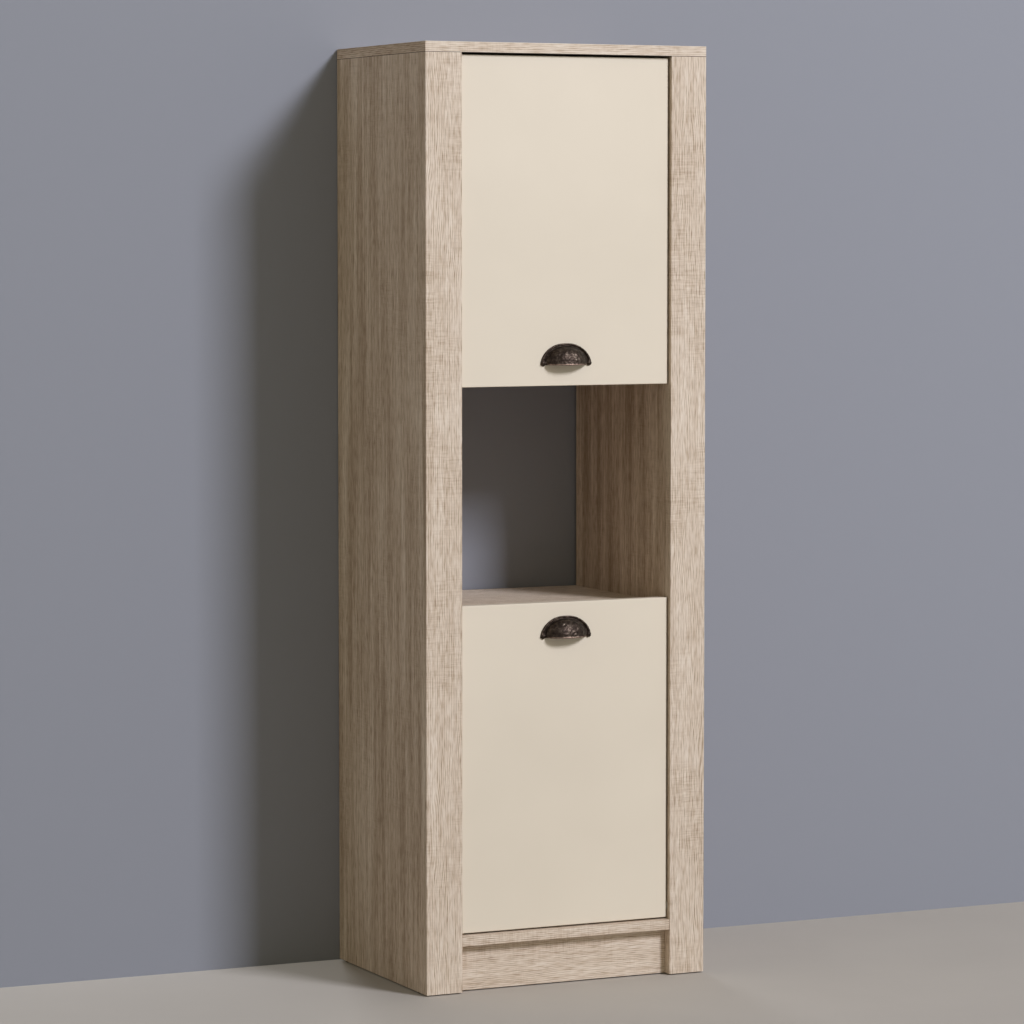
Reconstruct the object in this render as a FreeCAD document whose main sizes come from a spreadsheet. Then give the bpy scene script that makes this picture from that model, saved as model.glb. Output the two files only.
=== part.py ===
import FreeCAD, Part

import math
import os

import Sketcher

# Tall bathroom cabinet: a hinged door above, an open niche, and a tilting laundry flap below.
# Millimetres. X runs across the front, -Y is the front, +Z is up. The origin is on the floor,
# at the centre of the footprint with the cup pulls.

SIZES = {
    # carcass
    "cabinet_width": "525",
    "cabinet_depth": "380",
    "cabinet_height": "1600",
    "board_thickness": "18",
    "stile_width": "66",
    "plinth_height": "80",
    "plinth_recess": "18",
    "bottom_board_recess": "1",
    "back_inset": "10",
    "back_panel_thickness": "3",
    "back_panel_lap": "14",
    "edge_ease": "0.8",
    # doors and niche
    "door_thickness": "18",
    "door_gap": "3",
    "door_recess": "8",
    "upper_door_height": "555",
    "lower_flap_height": "555",
    "niche_floor_drop": "9",
    "niche_ceiling_rise": "9",
    "bumper_gap": "2",
    "hinge_swing_room": "12",
    # shelf
    "shelf_height": "256",
    "shelf_side_clearance": "1",
    "shelf_front_setback": "10",
    "shelf_pin_radius": "2.5",
    "shelf_pin_length": "16",
    "shelf_pin_setback": "50",
    "shelf_hole_pitch": "32",
    # cup pulls
    "pull_projection": "24",
    "pull_dome_half_width": "44",
    "pull_dome_height": "31.5",
    "pull_wall": "2.2",
    "pull_end_wall": "3.3",
    "pull_rim_width": "4",
    "pull_rim_thickness": "2.6",
    "pull_foot_radius": "5",
    "pull_foot_lift": "2.5",
    "pull_foot_thickness": "3.4",
    "pull_hole_spacing": "64",
    "pull_boss_radius": "4",
    "pull_boss_height": "11",
    "pull_boss_length": "5",
    "upper_pull_above_edge": "35.5",
    "lower_pull_below_edge": "59.5",
    "pull_screw_radius": "2",
    "pull_screw_depth": "4",
    # concealed hinges
    "hinge_from_door_end": "90",
    "cup_radius": "17.5",
    "cup_depth": "12.5",
    "cup_wall": "0.8",
    "cup_from_edge": "22.5",
    "hinge_axis_from_edge": "17",
    "hinge_nose_radius": "2.6",
    "hinge_nose_clearance": "0.3",
    "hinge_pin_radius": "1.5",
    "hinge_pin_clearance": "0.1",
    "hinge_arm_width": "14",
    "hinge_neck_thickness": "2",
    "hinge_neck_reach": "19.5",
    "hinge_neck_back": "22",
    "hinge_arm_length": "46",
    "hinge_plate_height": "6",
    "hinge_plate_length": "50",
    "hinge_plate_screw_spacing": "32",
    "cup_flange_thickness": "2",
    "cup_screw_spacing": "48",
    # magnetic catch
    "catch_width": "44",
    "catch_depth": "22",
    "catch_height": "13",
    "catch_from_edge": "60",
    "strike_thickness": "2",
    "catch_screw_from_edge": "5.1",
    "catch_screw_from_back": "4.4",
    "contact_clearance": "0.3",
    # laundry flap
    "flap_axis_back": "7",
    "flap_axis_up": "20",
    "flap_pin_radius": "3",
    "flap_pin_grip": "20",
    "flap_pin_clearance": "0.1",
    "flap_bush_radius": "5",
    "flap_bush_length": "12",
    "flap_bush_flange_radius": "7.5",
    "flap_bush_flange_thickness": "1.2",
    "flap_open_angle": "38",
    "stay_radius": "380",
    "stay_height": "12",
    "stay_thickness": "2.5",
    "stay_from_edge": "8",
    "stay_foot_height": "44",
    "stay_foot_width": "16",
    "stay_stop_angle": "1.5",
    "stay_stop_gap_angle": "0.4",
    "stay_stop_height": "20",
    "guide_back": "60",
    "guide_length": "20",
    "guide_height": "30",
    "guide_lip": "4",
    "guide_clearance": "0.6",
    "guide_screw_from_end": "4.4",
    # laundry bag and its frame
    "frame_wire_radius": "2.5",
    "frame_from_door_side": "23.5",
    "frame_depth": "232",
    "frame_corner_radius": "32",
    "frame_from_flap": "14",
    "strut_drop": "140",
    "clip_width": "16",
    "clip_height": "14",
    "clip_play": "0.2",
    "bag_floor_gap": "42",
    "bag_height": "392",
    "bag_wall": "2.5",
    "bag_lip": "7",
    "bag_clearance": "0.5",
    # fixings
    "carcass_screw_radius": "3.5",
    "carcass_screw_head_radius": "5",
    "carcass_screw_head": "3.5",
    "carcass_screw_length": "50",
    "carcass_screw_setback": "60",
    "fixing_clearance": "0.1",
    "dowel_radius": "4",
    "dowel_length": "30",
    "dowel_in_face": "12",
    "dowel_setback": "40",
    "cam_radius": "7.5",
    "cam_depth": "12.5",
    "cam_from_top": "34",
    "cam_setback": "90",
    "cam_bolt_radius": "3.5",
    "cam_bolt_neck": "2.5",
    "nail_radius": "0.8",
    "nail_head_radius": "1.8",
    "nail_head": "0.8",
    "nail_length": "20",
    "small_screw_radius": "1.7",
    "small_screw_head_radius": "3.4",
    "small_screw_head": "1.8",
    "small_screw_length": "14",
    "glide_radius": "8",
    "glide_height": "2",
    "bumper_radius": "4",
    "bumper_from_side": "49",
    "bracket_width": "44",
    "bracket_leaf": "30",
    "bracket_thickness": "2",
    "bracket_hole_radius": "3",
    "bracket_hole_spacing": "24",
    "bracket_screw_from_back": "18",
    "wall_hole_play": "1",
}

doc = FreeCAD.newDocument("tall_cabinet")
sheet = doc.addObject("Spreadsheet::Sheet", "sizes")
for row, (alias, number) in enumerate(SIZES.items(), start=1):
    sheet.set(f"A{row}", alias)
    sheet.set(f"B{row}", number)
    sheet.setAlias(f"B{row}", alias)
doc.recompute()


class Size:
    """A length with the sheet's expression for it, so that sums and shares stay bound."""

    def __init__(self, number, text):
        self.number = number
        self.text = text

    def __add__(self, other):
        other = as_size(other)
        return Size(self.number + other.number, f"({self.text} + {other.text})")

    def __sub__(self, other):
        other = as_size(other)
        return Size(self.number - other.number, f"({self.text} - {other.text})")

    def __mul__(self, other):
        other = as_size(other)
        return Size(self.number * other.number, f"({self.text} * {other.text})")

    def __truediv__(self, other):
        other = as_size(other)
        return Size(self.number / other.number, f"({self.text} / {other.text})")

    def __neg__(self):
        return self * -1

    def __radd__(self, other):
        return as_size(other) + self

    def __rsub__(self, other):
        return as_size(other) - self

    def __rmul__(self, other):
        return as_size(other) * self


def as_size(value):
    """A bare number as a Size."""
    return value if isinstance(value, Size) else Size(float(value), f"({float(value)})")


def root(size):
    """The square root of a Size."""
    return Size(math.sqrt(size.number), f"sqrt({size.text})")


class Sheet:
    """The spreadsheet's cells as Sizes, by alias."""

    def __getattr__(self, alias):
        return Size(float(SIZES[alias]), f"sizes.{alias}")


S = Sheet()
ZERO = as_size(0)
nodes = {}

TURNS = {
    "+x": FreeCAD.Rotation(FreeCAD.Vector(0, 1, 0), 90),
    "-x": FreeCAD.Rotation(FreeCAD.Vector(0, 1, 0), -90),
    "+y": FreeCAD.Rotation(FreeCAD.Vector(1, 0, 0), -90),
    "-y": FreeCAD.Rotation(FreeCAD.Vector(1, 0, 0), 90),
    "+z": FreeCAD.Rotation(),
    "-z": FreeCAD.Rotation(FreeCAD.Vector(1, 0, 0), 180),
}


# ---- small building steps ------------------------------------------------------------------------


def bind(thing, path, size):
    """Set a property from a Size, and keep it bound to the sheet."""
    thing.setExpression(path, as_size(size).text)


def place(thing, at, turn=None):
    """Put an object's origin at a point, turned as given."""
    numbers = [as_size(value).number for value in at]
    thing.Placement = FreeCAD.Placement(FreeCAD.Vector(*numbers), turn or FreeCAD.Rotation())
    for letter, value in zip("xyz", at):
        bind(thing, f"Placement.Base.{letter}", value)
    return thing


def box(low, size):
    """A block from its lowest corner and its three edge lengths."""
    block = doc.addObject("Part::Box", "block")
    for path, value in zip(("Length", "Width", "Height"), size):
        bind(block, path, value)
    return place(block, low)


def rod(start, direction, radius, length, turn=None):
    """A cylinder from a point along an axis direction such as +x."""
    cylinder = doc.addObject("Part::Cylinder", "rod")
    bind(cylinder, "Radius", radius)
    bind(cylinder, "Height", length)
    return place(cylinder, start, turn or TURNS[direction])


def cone(start, direction, radius_low, radius_high, length):
    """A truncated cone from a point along an axis direction."""
    taper = doc.addObject("Part::Cone", "cone")
    bind(taper, "Radius1", radius_low)
    bind(taper, "Radius2", radius_high)
    bind(taper, "Height", length)
    return place(taper, start, TURNS[direction])


def cut(base, tool):
    """The base without the tool's volume."""
    result = doc.addObject("Part::Cut", "cut")
    result.Base = base
    result.Tool = tool
    return result


def fuse(*pieces):
    """The pieces as one solid."""
    result = doc.addObject("Part::MultiFuse", "fused")
    result.Shapes = list(pieces)
    result.Refine = True
    return result


def group(label, solids):
    """Separate solids that make one node."""
    compound = doc.addObject("Part::Compound", label)
    compound.Links = solids
    return keep(label, compound)


def keep(label, thing):
    """Name a finished sub-part."""
    thing.Label = label
    nodes[label] = thing
    return thing


def origin_plane(body, role):
    """One of a body's own origin planes, such as XY_Plane."""
    return next(part for part in body.Origin.OriginFeatures if part.Role == role)


def new_sketch(body, plane, lift=ZERO):
    """An empty sketch on an origin plane of its body, lifted along the plane's normal."""
    sketch = body.newObject("Sketcher::SketchObject", "sketch")
    sketch.AttachmentSupport = (origin_plane(body, plane + "_Plane"), [""])
    sketch.MapMode = "FlatFace"
    bind(sketch, "AttachmentOffset.Base.z", lift)
    return sketch


def pin_point(sketch, geometry, vertex, at):
    """Hold a sketch point at its distances from the sketch's origin."""
    for kind, value in zip(("DistanceX", "DistanceY"), at):
        size = as_size(value)
        index = sketch.addConstraint(Sketcher.Constraint(kind, -1, 1, geometry, vertex, size.number))
        sketch.setExpression(f"Constraints[{index}]", size.text)


def vector(at):
    """A sketch point as a vector."""
    return FreeCAD.Vector(as_size(at[0]).number, as_size(at[1]).number, 0)


def outline(body, plane, corners, arcs=None, lift=ZERO):
    """A closed outline. arcs gives, for an edge's number, its centre and whether it runs ccw."""
    arcs = arcs or {}
    sketch = new_sketch(body, plane, lift)
    ends = []
    for index, corner in enumerate(corners):
        start = vector(corner)
        end = vector(corners[(index + 1) % len(corners)])
        if index in arcs:
            centre, ccw = arcs[index]
            middle = vector(centre)
            first, last = (start, end) if ccw else (end, start)
            angles = [math.atan2(point.y - middle.y, point.x - middle.x) for point in (first, last)]
            circle = Part.Circle(middle, FreeCAD.Vector(0, 0, 1), (start - middle).Length)
            sketch.addGeometry(Part.ArcOfCircle(circle, angles[0], angles[1]), False)
            ends.append((1, 2) if ccw else (2, 1))
        else:
            sketch.addGeometry(Part.LineSegment(start, end), False)
            ends.append((1, 2))
    for index in range(len(corners)):
        following = (index + 1) % len(corners)
        sketch.addConstraint(
            Sketcher.Constraint("Coincident", index, ends[index][1], following, ends[following][0])
        )
    for index, corner in enumerate(corners):
        pin_point(sketch, index, ends[index][0], corner)
        if index in arcs:
            axis_gap = as_size(arcs[index][0][1])
            held = sketch.addConstraint(Sketcher.Constraint("DistanceY", -1, 1, index, 3, axis_gap.number))
            sketch.setExpression(f"Constraints[{held}]", axis_gap.text)
    return sketch


def circles(body, plane, centres, radius, lift=ZERO):
    """Equal circles on an origin plane."""
    sketch = new_sketch(body, plane, lift)
    for index, centre in enumerate(centres):
        size = as_size(radius)
        sketch.addGeometry(Part.Circle(vector(centre), FreeCAD.Vector(0, 0, 1), size.number), False)
        pin_point(sketch, index, 3, centre)
        held = sketch.addConstraint(Sketcher.Constraint("Radius", index, size.number))
        sketch.setExpression(f"Constraints[{held}]", size.text)
    return sketch


def pad(body, sketch, length, backwards=False):
    """Grow the body from a sketch, along its normal or backwards."""
    feature = body.newObject("PartDesign::Pad", "pad")
    feature.Profile = sketch
    feature.Reversed = backwards
    bind(feature, "Length", length)
    doc.recompute()


def pocket(body, sketch, depth, along_normal=False):
    """Cut a sketch out of the body, and make sure that something was cut."""
    before = body.Shape.Volume
    feature = body.newObject("PartDesign::Pocket", "pocket")
    feature.Profile = sketch
    feature.Reversed = along_normal
    bind(feature, "Length", depth)
    doc.recompute()
    if body.Shape.Volume > before - 1e-3:
        raise RuntimeError(f"a pocket of {body.Label} cut nothing")


def ease(body, wanted, radius):
    """Round the edges that pass a test of their end points."""
    base = body.Tip
    names = []
    for index, edge in enumerate(base.Shape.Edges, start=1):
        if all(wanted(vertex.Point) for vertex in edge.Vertexes):
            names.append(f"Edge{index}")
    feature = body.newObject("PartDesign::Fillet", "ease")
    feature.Base = (base, names)
    bind(feature, "Radius", radius)
    doc.recompute()


class Panel:
    """A flat board: an outline in plan, padded upwards, with bores from its faces."""

    FACES = {
        "left": ("YZ", "x", "low", True),
        "right": ("YZ", "x", "high", False),
        "front": ("XZ", "y", "low", False),
        "back": ("XZ", "y", "high", True),
        "under": ("XY", "z", "low", True),
        "top": ("XY", "z", "high", False),
    }

    def __init__(self, label, low, size, corners=None):
        self.low = low
        self.size = size
        self.body = doc.addObject("PartDesign::Body", label)
        plan = corners or [(0, 0), (size[0], 0), (size[0], size[1]), (0, size[1])]
        place(self.body, low)
        pad(self.body, outline(self.body, "XY", plan), size[2])
        keep(label, self.body)

    def bore(self, face, spots, radius, depth):
        """Round holes from a face; spots are given in the cabinet's own coordinates."""
        plane, normal_axis, end, along_normal = self.FACES[face]
        across = "xyz".index(normal_axis)
        reach = as_size(self.size[across])
        lift = reach if (end == "high") == (reach.number > 0) else ZERO
        if plane == "XZ":
            lift = -lift
        axes = [axis for axis in range(3) if axis != across]
        centres = [tuple(spot[i] - self.low[axis] for i, axis in enumerate(axes)) for spot in spots]
        pocket(self.body, circles(self.body, plane, centres, radius, lift), depth, along_normal)

    def ease_front(self, radius):
        """Round the four edges round the front face."""
        ease(self.body, lambda point: abs(point.y) < 1e-6, radius)


def screw(start, direction, radius, length, head_radius, head_height):
    """A headed screw: start is the outer centre of the head, direction is where the point goes."""
    shank = rod(start, direction, radius, length)
    head = cone(start, direction, head_radius, radius, head_height)
    return fuse(shank, head)


def small_screw(start, direction):
    """A wood screw for fittings, its head countersunk from the start point."""
    return screw(
        start,
        direction,
        S.small_screw_radius,
        S.small_screw_length,
        S.small_screw_head_radius,
        S.small_screw_head,
    )


# ---- main planes of the cabinet ------------------------------------------------------------------

board = S.board_thickness
front = (S.pull_projection - S.door_recess) / 2 - S.cabinet_depth / 2
back = front + S.cabinet_depth
inner_front = front + board
inner_back = back - S.back_inset
outer_x = S.cabinet_width / 2
opening_x = outer_x - S.stile_width
foot = S.glide_height
carcass_top = S.cabinet_height - board
side_height = carcass_top - foot
door_front = front + S.door_recess
door_back = door_front + S.door_thickness
door_x = opening_x - S.door_gap
door_width = door_x * 2
bottom_top = S.plinth_height + board
flap_low = bottom_top + S.door_gap
flap_high = flap_low + S.lower_flap_height
door_high = carcass_top - S.door_gap
door_low = door_high - S.upper_door_height
niche_floor_top = flap_high - S.niche_floor_drop
ceiling_low = door_low + S.niche_ceiling_rise
ceiling_top = ceiling_low + board
ceiling_front = door_back + S.hinge_swing_room
shelf_low = ceiling_top + S.shelf_height
SIDES = (("left", -1), ("right", 1))
CLEAR = S.fixing_clearance


# ---- carcass boards ------------------------------------------------------------------------------

top_board = Panel(
    "top_board", (-outer_x, front, carcass_top), (S.cabinet_width, S.cabinet_depth, board)
)
outer_sides = {}
inner_sides = {}
stiles = {}
for name, sign in SIDES:
    face = outer_x * sign
    outer_sides[name] = Panel(
        f"outer_side_{name}",
        (face, front, foot),
        (board * -sign, S.cabinet_depth, side_height),
        [(0, 0), (0, S.cabinet_depth), (board * -sign, S.cabinet_depth), (board * -sign, board)],
    )
    stiles[name] = Panel(
        f"stile_{name}",
        (face, front, foot),
        (S.stile_width * -sign, board, side_height),
        [(0, 0), (S.stile_width * -sign, 0), (S.stile_width * -sign, board), (board * -sign, board)],
    )
    inner_low = -opening_x - board if sign < 0 else opening_x
    inner_sides[name] = Panel(
        f"inner_side_{name}",
        (inner_low, inner_front, foot),
        (board, inner_back - inner_front, side_height),
    )
    cavity_low = -outer_x + board if sign < 0 else opening_x + board
    cavity_width = S.stile_width - board * 2
    Panel(
        f"rear_batten_{name}", (cavity_low, inner_back - board, foot), (cavity_width, board, side_height)
    )
    rail_length = inner_back - board - inner_front
    rail_heights = (foot, foot + side_height / 2, carcass_top - board)
    group(
        f"side_rails_{name}",
        [box((cavity_low, inner_front, low), (cavity_width, rail_length, board)) for low in rail_heights],
    )

inner_width = opening_x * 2


def crosspiece(label, y_low, y_high, low, height):
    """A board that spans the opening between the two inner sides."""
    return Panel(label, (-opening_x, y_low, low), (inner_width, y_high - y_low, height))


plinth_front = front + S.plinth_recess
bottom_board = crosspiece(
    "bottom_board", front + S.bottom_board_recess, inner_back, S.plinth_height, board
)
plinth_board = crosspiece(
    "plinth_board", plinth_front, plinth_front + board, foot, S.plinth_height - foot
)
rear_plinth_rail = crosspiece(
    "rear_plinth_rail", inner_back - board, inner_back, foot, S.plinth_height - foot
)
niche_floor = crosspiece(
    "niche_floor", door_back + S.bumper_gap, inner_back, niche_floor_top - board, board
)
niche_ceiling = crosspiece("niche_ceiling", ceiling_front, inner_back, ceiling_low, board)

shelf_x = opening_x - S.shelf_side_clearance
shelf_front = ceiling_front + S.shelf_front_setback
upper_shelf = Panel(
    "upper_shelf",
    (-shelf_x, shelf_front, shelf_low),
    (shelf_x * 2, inner_back - S.shelf_side_clearance - shelf_front, board),
)

back_x = opening_x + S.back_panel_lap
lower_back_low = S.plinth_height - S.back_panel_lap
upper_back_panel = Panel(
    "upper_back_panel",
    (-back_x, inner_back, ceiling_low),
    (back_x * 2, S.back_panel_thickness, carcass_top - ceiling_low),
)
lower_back_panel = Panel(
    "lower_back_panel",
    (-back_x, inner_back, lower_back_low),
    (back_x * 2, S.back_panel_thickness, niche_floor_top - lower_back_low),
)


# ---- carcass fixings -----------------------------------------------------------------------------

screw_front = ceiling_front + S.carcass_screw_setback
screw_back = inner_back - S.carcass_screw_setback
plinth_mid = foot + (S.plinth_height - foot) / 2
board_joints = [
    (bottom_board, [(y, S.plinth_height + board / 2) for y in (screw_front, screw_back)]),
    (niche_floor, [(y, niche_floor_top - board / 2) for y in (screw_front, screw_back)]),
    (niche_ceiling, [(y, ceiling_low + board / 2) for y in (screw_front, screw_back)]),
    (plinth_board, [(plinth_front + board / 2, plinth_mid)]),
    (rear_plinth_rail, [(inner_back - board / 2, plinth_mid)]),
]
joint_spots = [spot for _, spots in board_joints for spot in spots]
carcass_screws = []
for name, sign in SIDES:
    outer_face, into = ("left", "+x") if sign < 0 else ("right", "-x")
    start_x = (opening_x + board) * sign
    inner = inner_sides[name]
    inner.bore(outer_face, joint_spots, S.carcass_screw_radius + CLEAR, board)
    inner.bore(outer_face, joint_spots, S.carcass_screw_head_radius + CLEAR, S.carcass_screw_head)
    for crossing, spots in board_joints:
        crossing.bore(
            outer_face, spots, S.carcass_screw_radius + CLEAR, S.carcass_screw_length - board + CLEAR
        )
    for y, z in joint_spots:
        carcass_screws.append(
            screw(
                (start_x, y, z),
                into,
                S.carcass_screw_radius,
                S.carcass_screw_length,
                S.carcass_screw_head_radius,
                S.carcass_screw_head,
            )
        )
group("carcass_screws", carcass_screws)

top_dowels = []
cam_discs = []
cam_bolts = []
cam_z = carcass_top - S.cam_from_top
bolt_top = S.dowel_in_face
for name, sign in SIDES:
    inner_mid = (opening_x + board / 2) * sign
    outer_mid = (outer_x - board / 2) * sign
    dowel_rows = (inner_front + S.dowel_setback, inner_back - S.dowel_setback)
    cam_rows = (inner_front + S.cam_setback, inner_back - S.cam_setback)
    for panel, x in ((inner_sides[name], inner_mid), (outer_sides[name], outer_mid)):
        spots = [(x, y) for y in dowel_rows]
        panel.bore("top", spots, S.dowel_radius + CLEAR, S.dowel_length - S.dowel_in_face + CLEAR)
        top_board.bore("under", spots, S.dowel_radius + CLEAR, S.dowel_in_face + CLEAR)
        top_dowels += [
            rod((x, y, carcass_top + S.dowel_in_face), "-z", S.dowel_radius, S.dowel_length)
            for x, y in spots
        ]
    inner = inner_sides[name]
    room_face, outward = ("right", "-x") if sign < 0 else ("left", "+x")
    bolt_spots = [(inner_mid, y) for y in cam_rows]
    inner.bore(room_face, [(y, cam_z) for y in cam_rows], S.cam_radius, S.cam_depth + CLEAR)
    inner.bore("top", bolt_spots, S.cam_bolt_radius + CLEAR * 2, S.cam_from_top)
    top_board.bore("under", bolt_spots, S.cam_bolt_neck + CLEAR, bolt_top + CLEAR)
    for x, y in bolt_spots:
        disc = rod((opening_x * sign, y, cam_z), outward, S.cam_radius - CLEAR, S.cam_depth)
        slot_half = S.cam_bolt_radius + CLEAR * 2
        slot_low = x - slot_half
        slot = box(
            (slot_low, y - slot_half, cam_z - slot_half),
            (slot_half * 2, slot_half * 2, S.cam_radius + slot_half * 2),
        )
        cam_discs.append(cut(disc, slot))
        stem = rod((x, y, cam_z), "+z", S.cam_bolt_radius, S.cam_from_top)
        neck = rod((x, y, carcass_top), "+z", S.cam_bolt_neck, bolt_top)
        cam_bolts.append(fuse(stem, neck))
group("top_dowels", top_dowels)
group("cam_discs", cam_discs)
group("cam_bolts", cam_bolts)

stile_dowels = []
STILE_DOWELS = 5
for name, sign in SIDES:
    x = (opening_x + board / 2) * sign
    first = foot + S.plinth_height * 2
    step = (side_height - S.plinth_height * 4) / (STILE_DOWELS - 1)
    spots = [(x, first + step * count) for count in range(STILE_DOWELS)]
    stiles[name].bore("back", spots, S.dowel_radius + CLEAR, S.dowel_in_face + CLEAR)
    inner_sides[name].bore(
        "front", spots, S.dowel_radius + CLEAR, S.dowel_length - S.dowel_in_face + CLEAR
    )
    stile_dowels += [
        rod((x, inner_front - S.dowel_in_face, z), "+y", S.dowel_radius, S.dowel_length)
        for x, z in spots
    ]
group("stile_dowels", stile_dowels)

back_nails = []
NAILS_PER_EDGE = 4
nail_start = inner_back + S.back_panel_thickness
nail_grip = S.nail_length - S.back_panel_thickness + CLEAR
cross_nail_x = opening_x / 2


def nail_back_panel(panel, low, high, crossings):
    """Nails along both sides of a back panel and into the boards that it crosses."""
    step = (high - low) / NAILS_PER_EDGE
    heights = [low + step * (count + 0.5) for count in range(NAILS_PER_EDGE)]
    spots = []
    for name, sign in SIDES:
        side_spots = [((opening_x + board / 2) * sign, z) for z in heights]
        inner_sides[name].bore("back", side_spots, S.nail_radius + CLEAR, nail_grip)
        spots += side_spots
    for crossing, z in crossings:
        crossing_spots = [(cross_nail_x * sign, z) for _, sign in SIDES]
        crossing.bore("back", crossing_spots, S.nail_radius + CLEAR, nail_grip)
        spots += crossing_spots
    panel.bore("back", spots, S.nail_radius + CLEAR, S.back_panel_thickness)
    for x, z in spots:
        shank = rod((x, nail_start, z), "-y", S.nail_radius, S.nail_length)
        head = rod((x, nail_start, z), "+y", S.nail_head_radius, S.nail_head)
        back_nails.append(fuse(shank, head))


nail_back_panel(
    upper_back_panel, ceiling_top, carcass_top - S.cam_from_top, [(niche_ceiling, ceiling_low + board / 2)]
)
nail_back_panel(
    lower_back_panel,
    bottom_top,
    niche_floor_top - board,
    [
        (niche_floor, niche_floor_top - board / 2),
        (rear_plinth_rail, S.plinth_height - S.back_panel_lap / 2),
    ],
)
group("back_panel_nails", back_nails)

glides = []
for name, sign in SIDES:
    for x in (outer_x - board / 2, opening_x + board / 2):
        for y in (inner_front + board, inner_back - board):
            glides.append(rod((x * sign, y, 0), "+z", S.glide_radius, S.glide_height))
group("floor_glides", glides)


# ---- shelf ---------------------------------------------------------------------------------------

SPARE_HOLE_ROWS = 2
pin_rows = (shelf_front + S.shelf_pin_setback, inner_back - S.shelf_pin_setback)
pin_z = shelf_low - S.shelf_pin_radius - CLEAR
shelf_pins = []
for name, sign in SIDES:
    room_face, outward = ("right", "-x") if sign < 0 else ("left", "+x")
    heights = [pin_z + S.shelf_hole_pitch * row for row in range(-SPARE_HOLE_ROWS, SPARE_HOLE_ROWS + 1)]
    holes = [(y, z) for y in pin_rows for z in heights]
    pin_grip = S.shelf_pin_length / 2
    inner_sides[name].bore(room_face, holes, S.shelf_pin_radius + CLEAR, pin_grip + CLEAR)
    for y in pin_rows:
        start = ((opening_x - pin_grip) * sign, y, pin_z)
        shelf_pins.append(rod(start, outward, S.shelf_pin_radius, S.shelf_pin_length))
group("shelf_pins", shelf_pins)


# ---- door and flap -------------------------------------------------------------------------------

upper_door = Panel(
    "upper_door", (-door_x, door_front, door_low), (door_width, S.door_thickness, S.upper_door_height)
)
lower_flap = Panel(
    "lower_flap", (-door_x, door_front, flap_low), (door_width, S.door_thickness, S.lower_flap_height)
)
for leaf in (upper_door, lower_flap):
    leaf.ease_front(S.edge_ease)
ease(
    top_board.body,
    lambda point: abs(point.y) < 1e-6 and abs(point.z - S.board_thickness.number) < 1e-6,
    S.edge_ease,
)


def cup_pull(label, lip_z):
    """A hollow half dome, open below, with a rim round its arch and a foot at each end.

    The dome is an arc turned a quarter turn about a level axis behind the door's face, so that
    it stands pull_projection out of the door and pull_dome_height up it.
    """
    half = S.pull_dome_half_width
    out = S.pull_projection
    axis_back = (S.pull_dome_height * S.pull_dome_height - out * out) / (out * 2)
    arc_radius = (half * half + out * out) / (out * 2)
    arc_centre = arc_radius - out - axis_back
    body = doc.addObject("PartDesign::Body", label)
    place(body, (ZERO, door_front + axis_back, lip_z))

    outer = outline(
        body,
        "XY",
        [(-half, 0), (-half, -axis_back), (half, -axis_back), (half, 0)],
        {1: ((0, arc_centre), True)},
    )
    dome = body.newObject("PartDesign::Revolution", "dome")
    dome.Profile = outer
    dome.ReferenceAxis = (outer, ["H_Axis"])
    dome.Angle = 90
    dome.Reversed = True
    doc.recompute()

    inner_radius = arc_radius - S.pull_wall
    inner_half = half - S.pull_end_wall
    inner_edge = root(inner_radius * inner_radius - inner_half * inner_half) - arc_centre
    inner = outline(
        body,
        "XY",
        [(-inner_half, 0), (-inner_half, -inner_edge), (inner_half, -inner_edge), (inner_half, 0)],
        {1: ((0, arc_centre), True)},
    )
    before = body.Shape.Volume
    hollow = body.newObject("PartDesign::Groove", "hollow")
    hollow.Profile = inner
    hollow.ReferenceAxis = (inner, ["H_Axis"])
    hollow.Angle = 90
    hollow.Reversed = True
    doc.recompute()
    if body.Shape.Volume > before - 1:
        raise RuntimeError(f"the hollow of {label} cut nothing")

    wide = half + S.pull_rim_width
    behind = outline(body, "XY", [(-wide, -axis_back), (wide, -axis_back), (wide, wide), (-wide, wide)])
    pocket(body, behind, wide, along_normal=True)

    rim_top = S.pull_dome_height + S.pull_rim_width
    rim_centre = (rim_top * rim_top - wide * wide) / (rim_top * 2)
    hole_top = S.pull_dome_height - S.pull_wall
    hole_centre = (hole_top * hole_top - inner_half * inner_half) / (hole_top * 2)
    rim = outline(
        body,
        "XZ",
        [(wide, 0), (-wide, 0), (-inner_half, 0), (inner_half, 0)],
        {0: ((0, rim_centre), True), 2: ((0, hole_centre), False)},
        lift=axis_back,
    )
    pad(body, rim, S.pull_rim_thickness)

    foot_x = wide - S.pull_foot_radius
    foot_spots = [(-foot_x, S.pull_foot_lift), (foot_x, S.pull_foot_lift)]
    feet = circles(body, "XZ", foot_spots, S.pull_foot_radius, lift=axis_back)
    pad(body, feet, S.pull_foot_thickness)

    hole_x = S.pull_hole_spacing / 2
    boss_spots = [(-hole_x, S.pull_boss_height), (hole_x, S.pull_boss_height)]
    pad(body, circles(body, "XZ", boss_spots, S.pull_boss_radius, lift=axis_back), S.pull_boss_length)
    threads = circles(body, "XZ", boss_spots, S.pull_screw_radius + CLEAR, lift=axis_back)
    pocket(body, threads, S.pull_screw_depth + CLEAR, along_normal=True)
    return keep(label, body)


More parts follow.
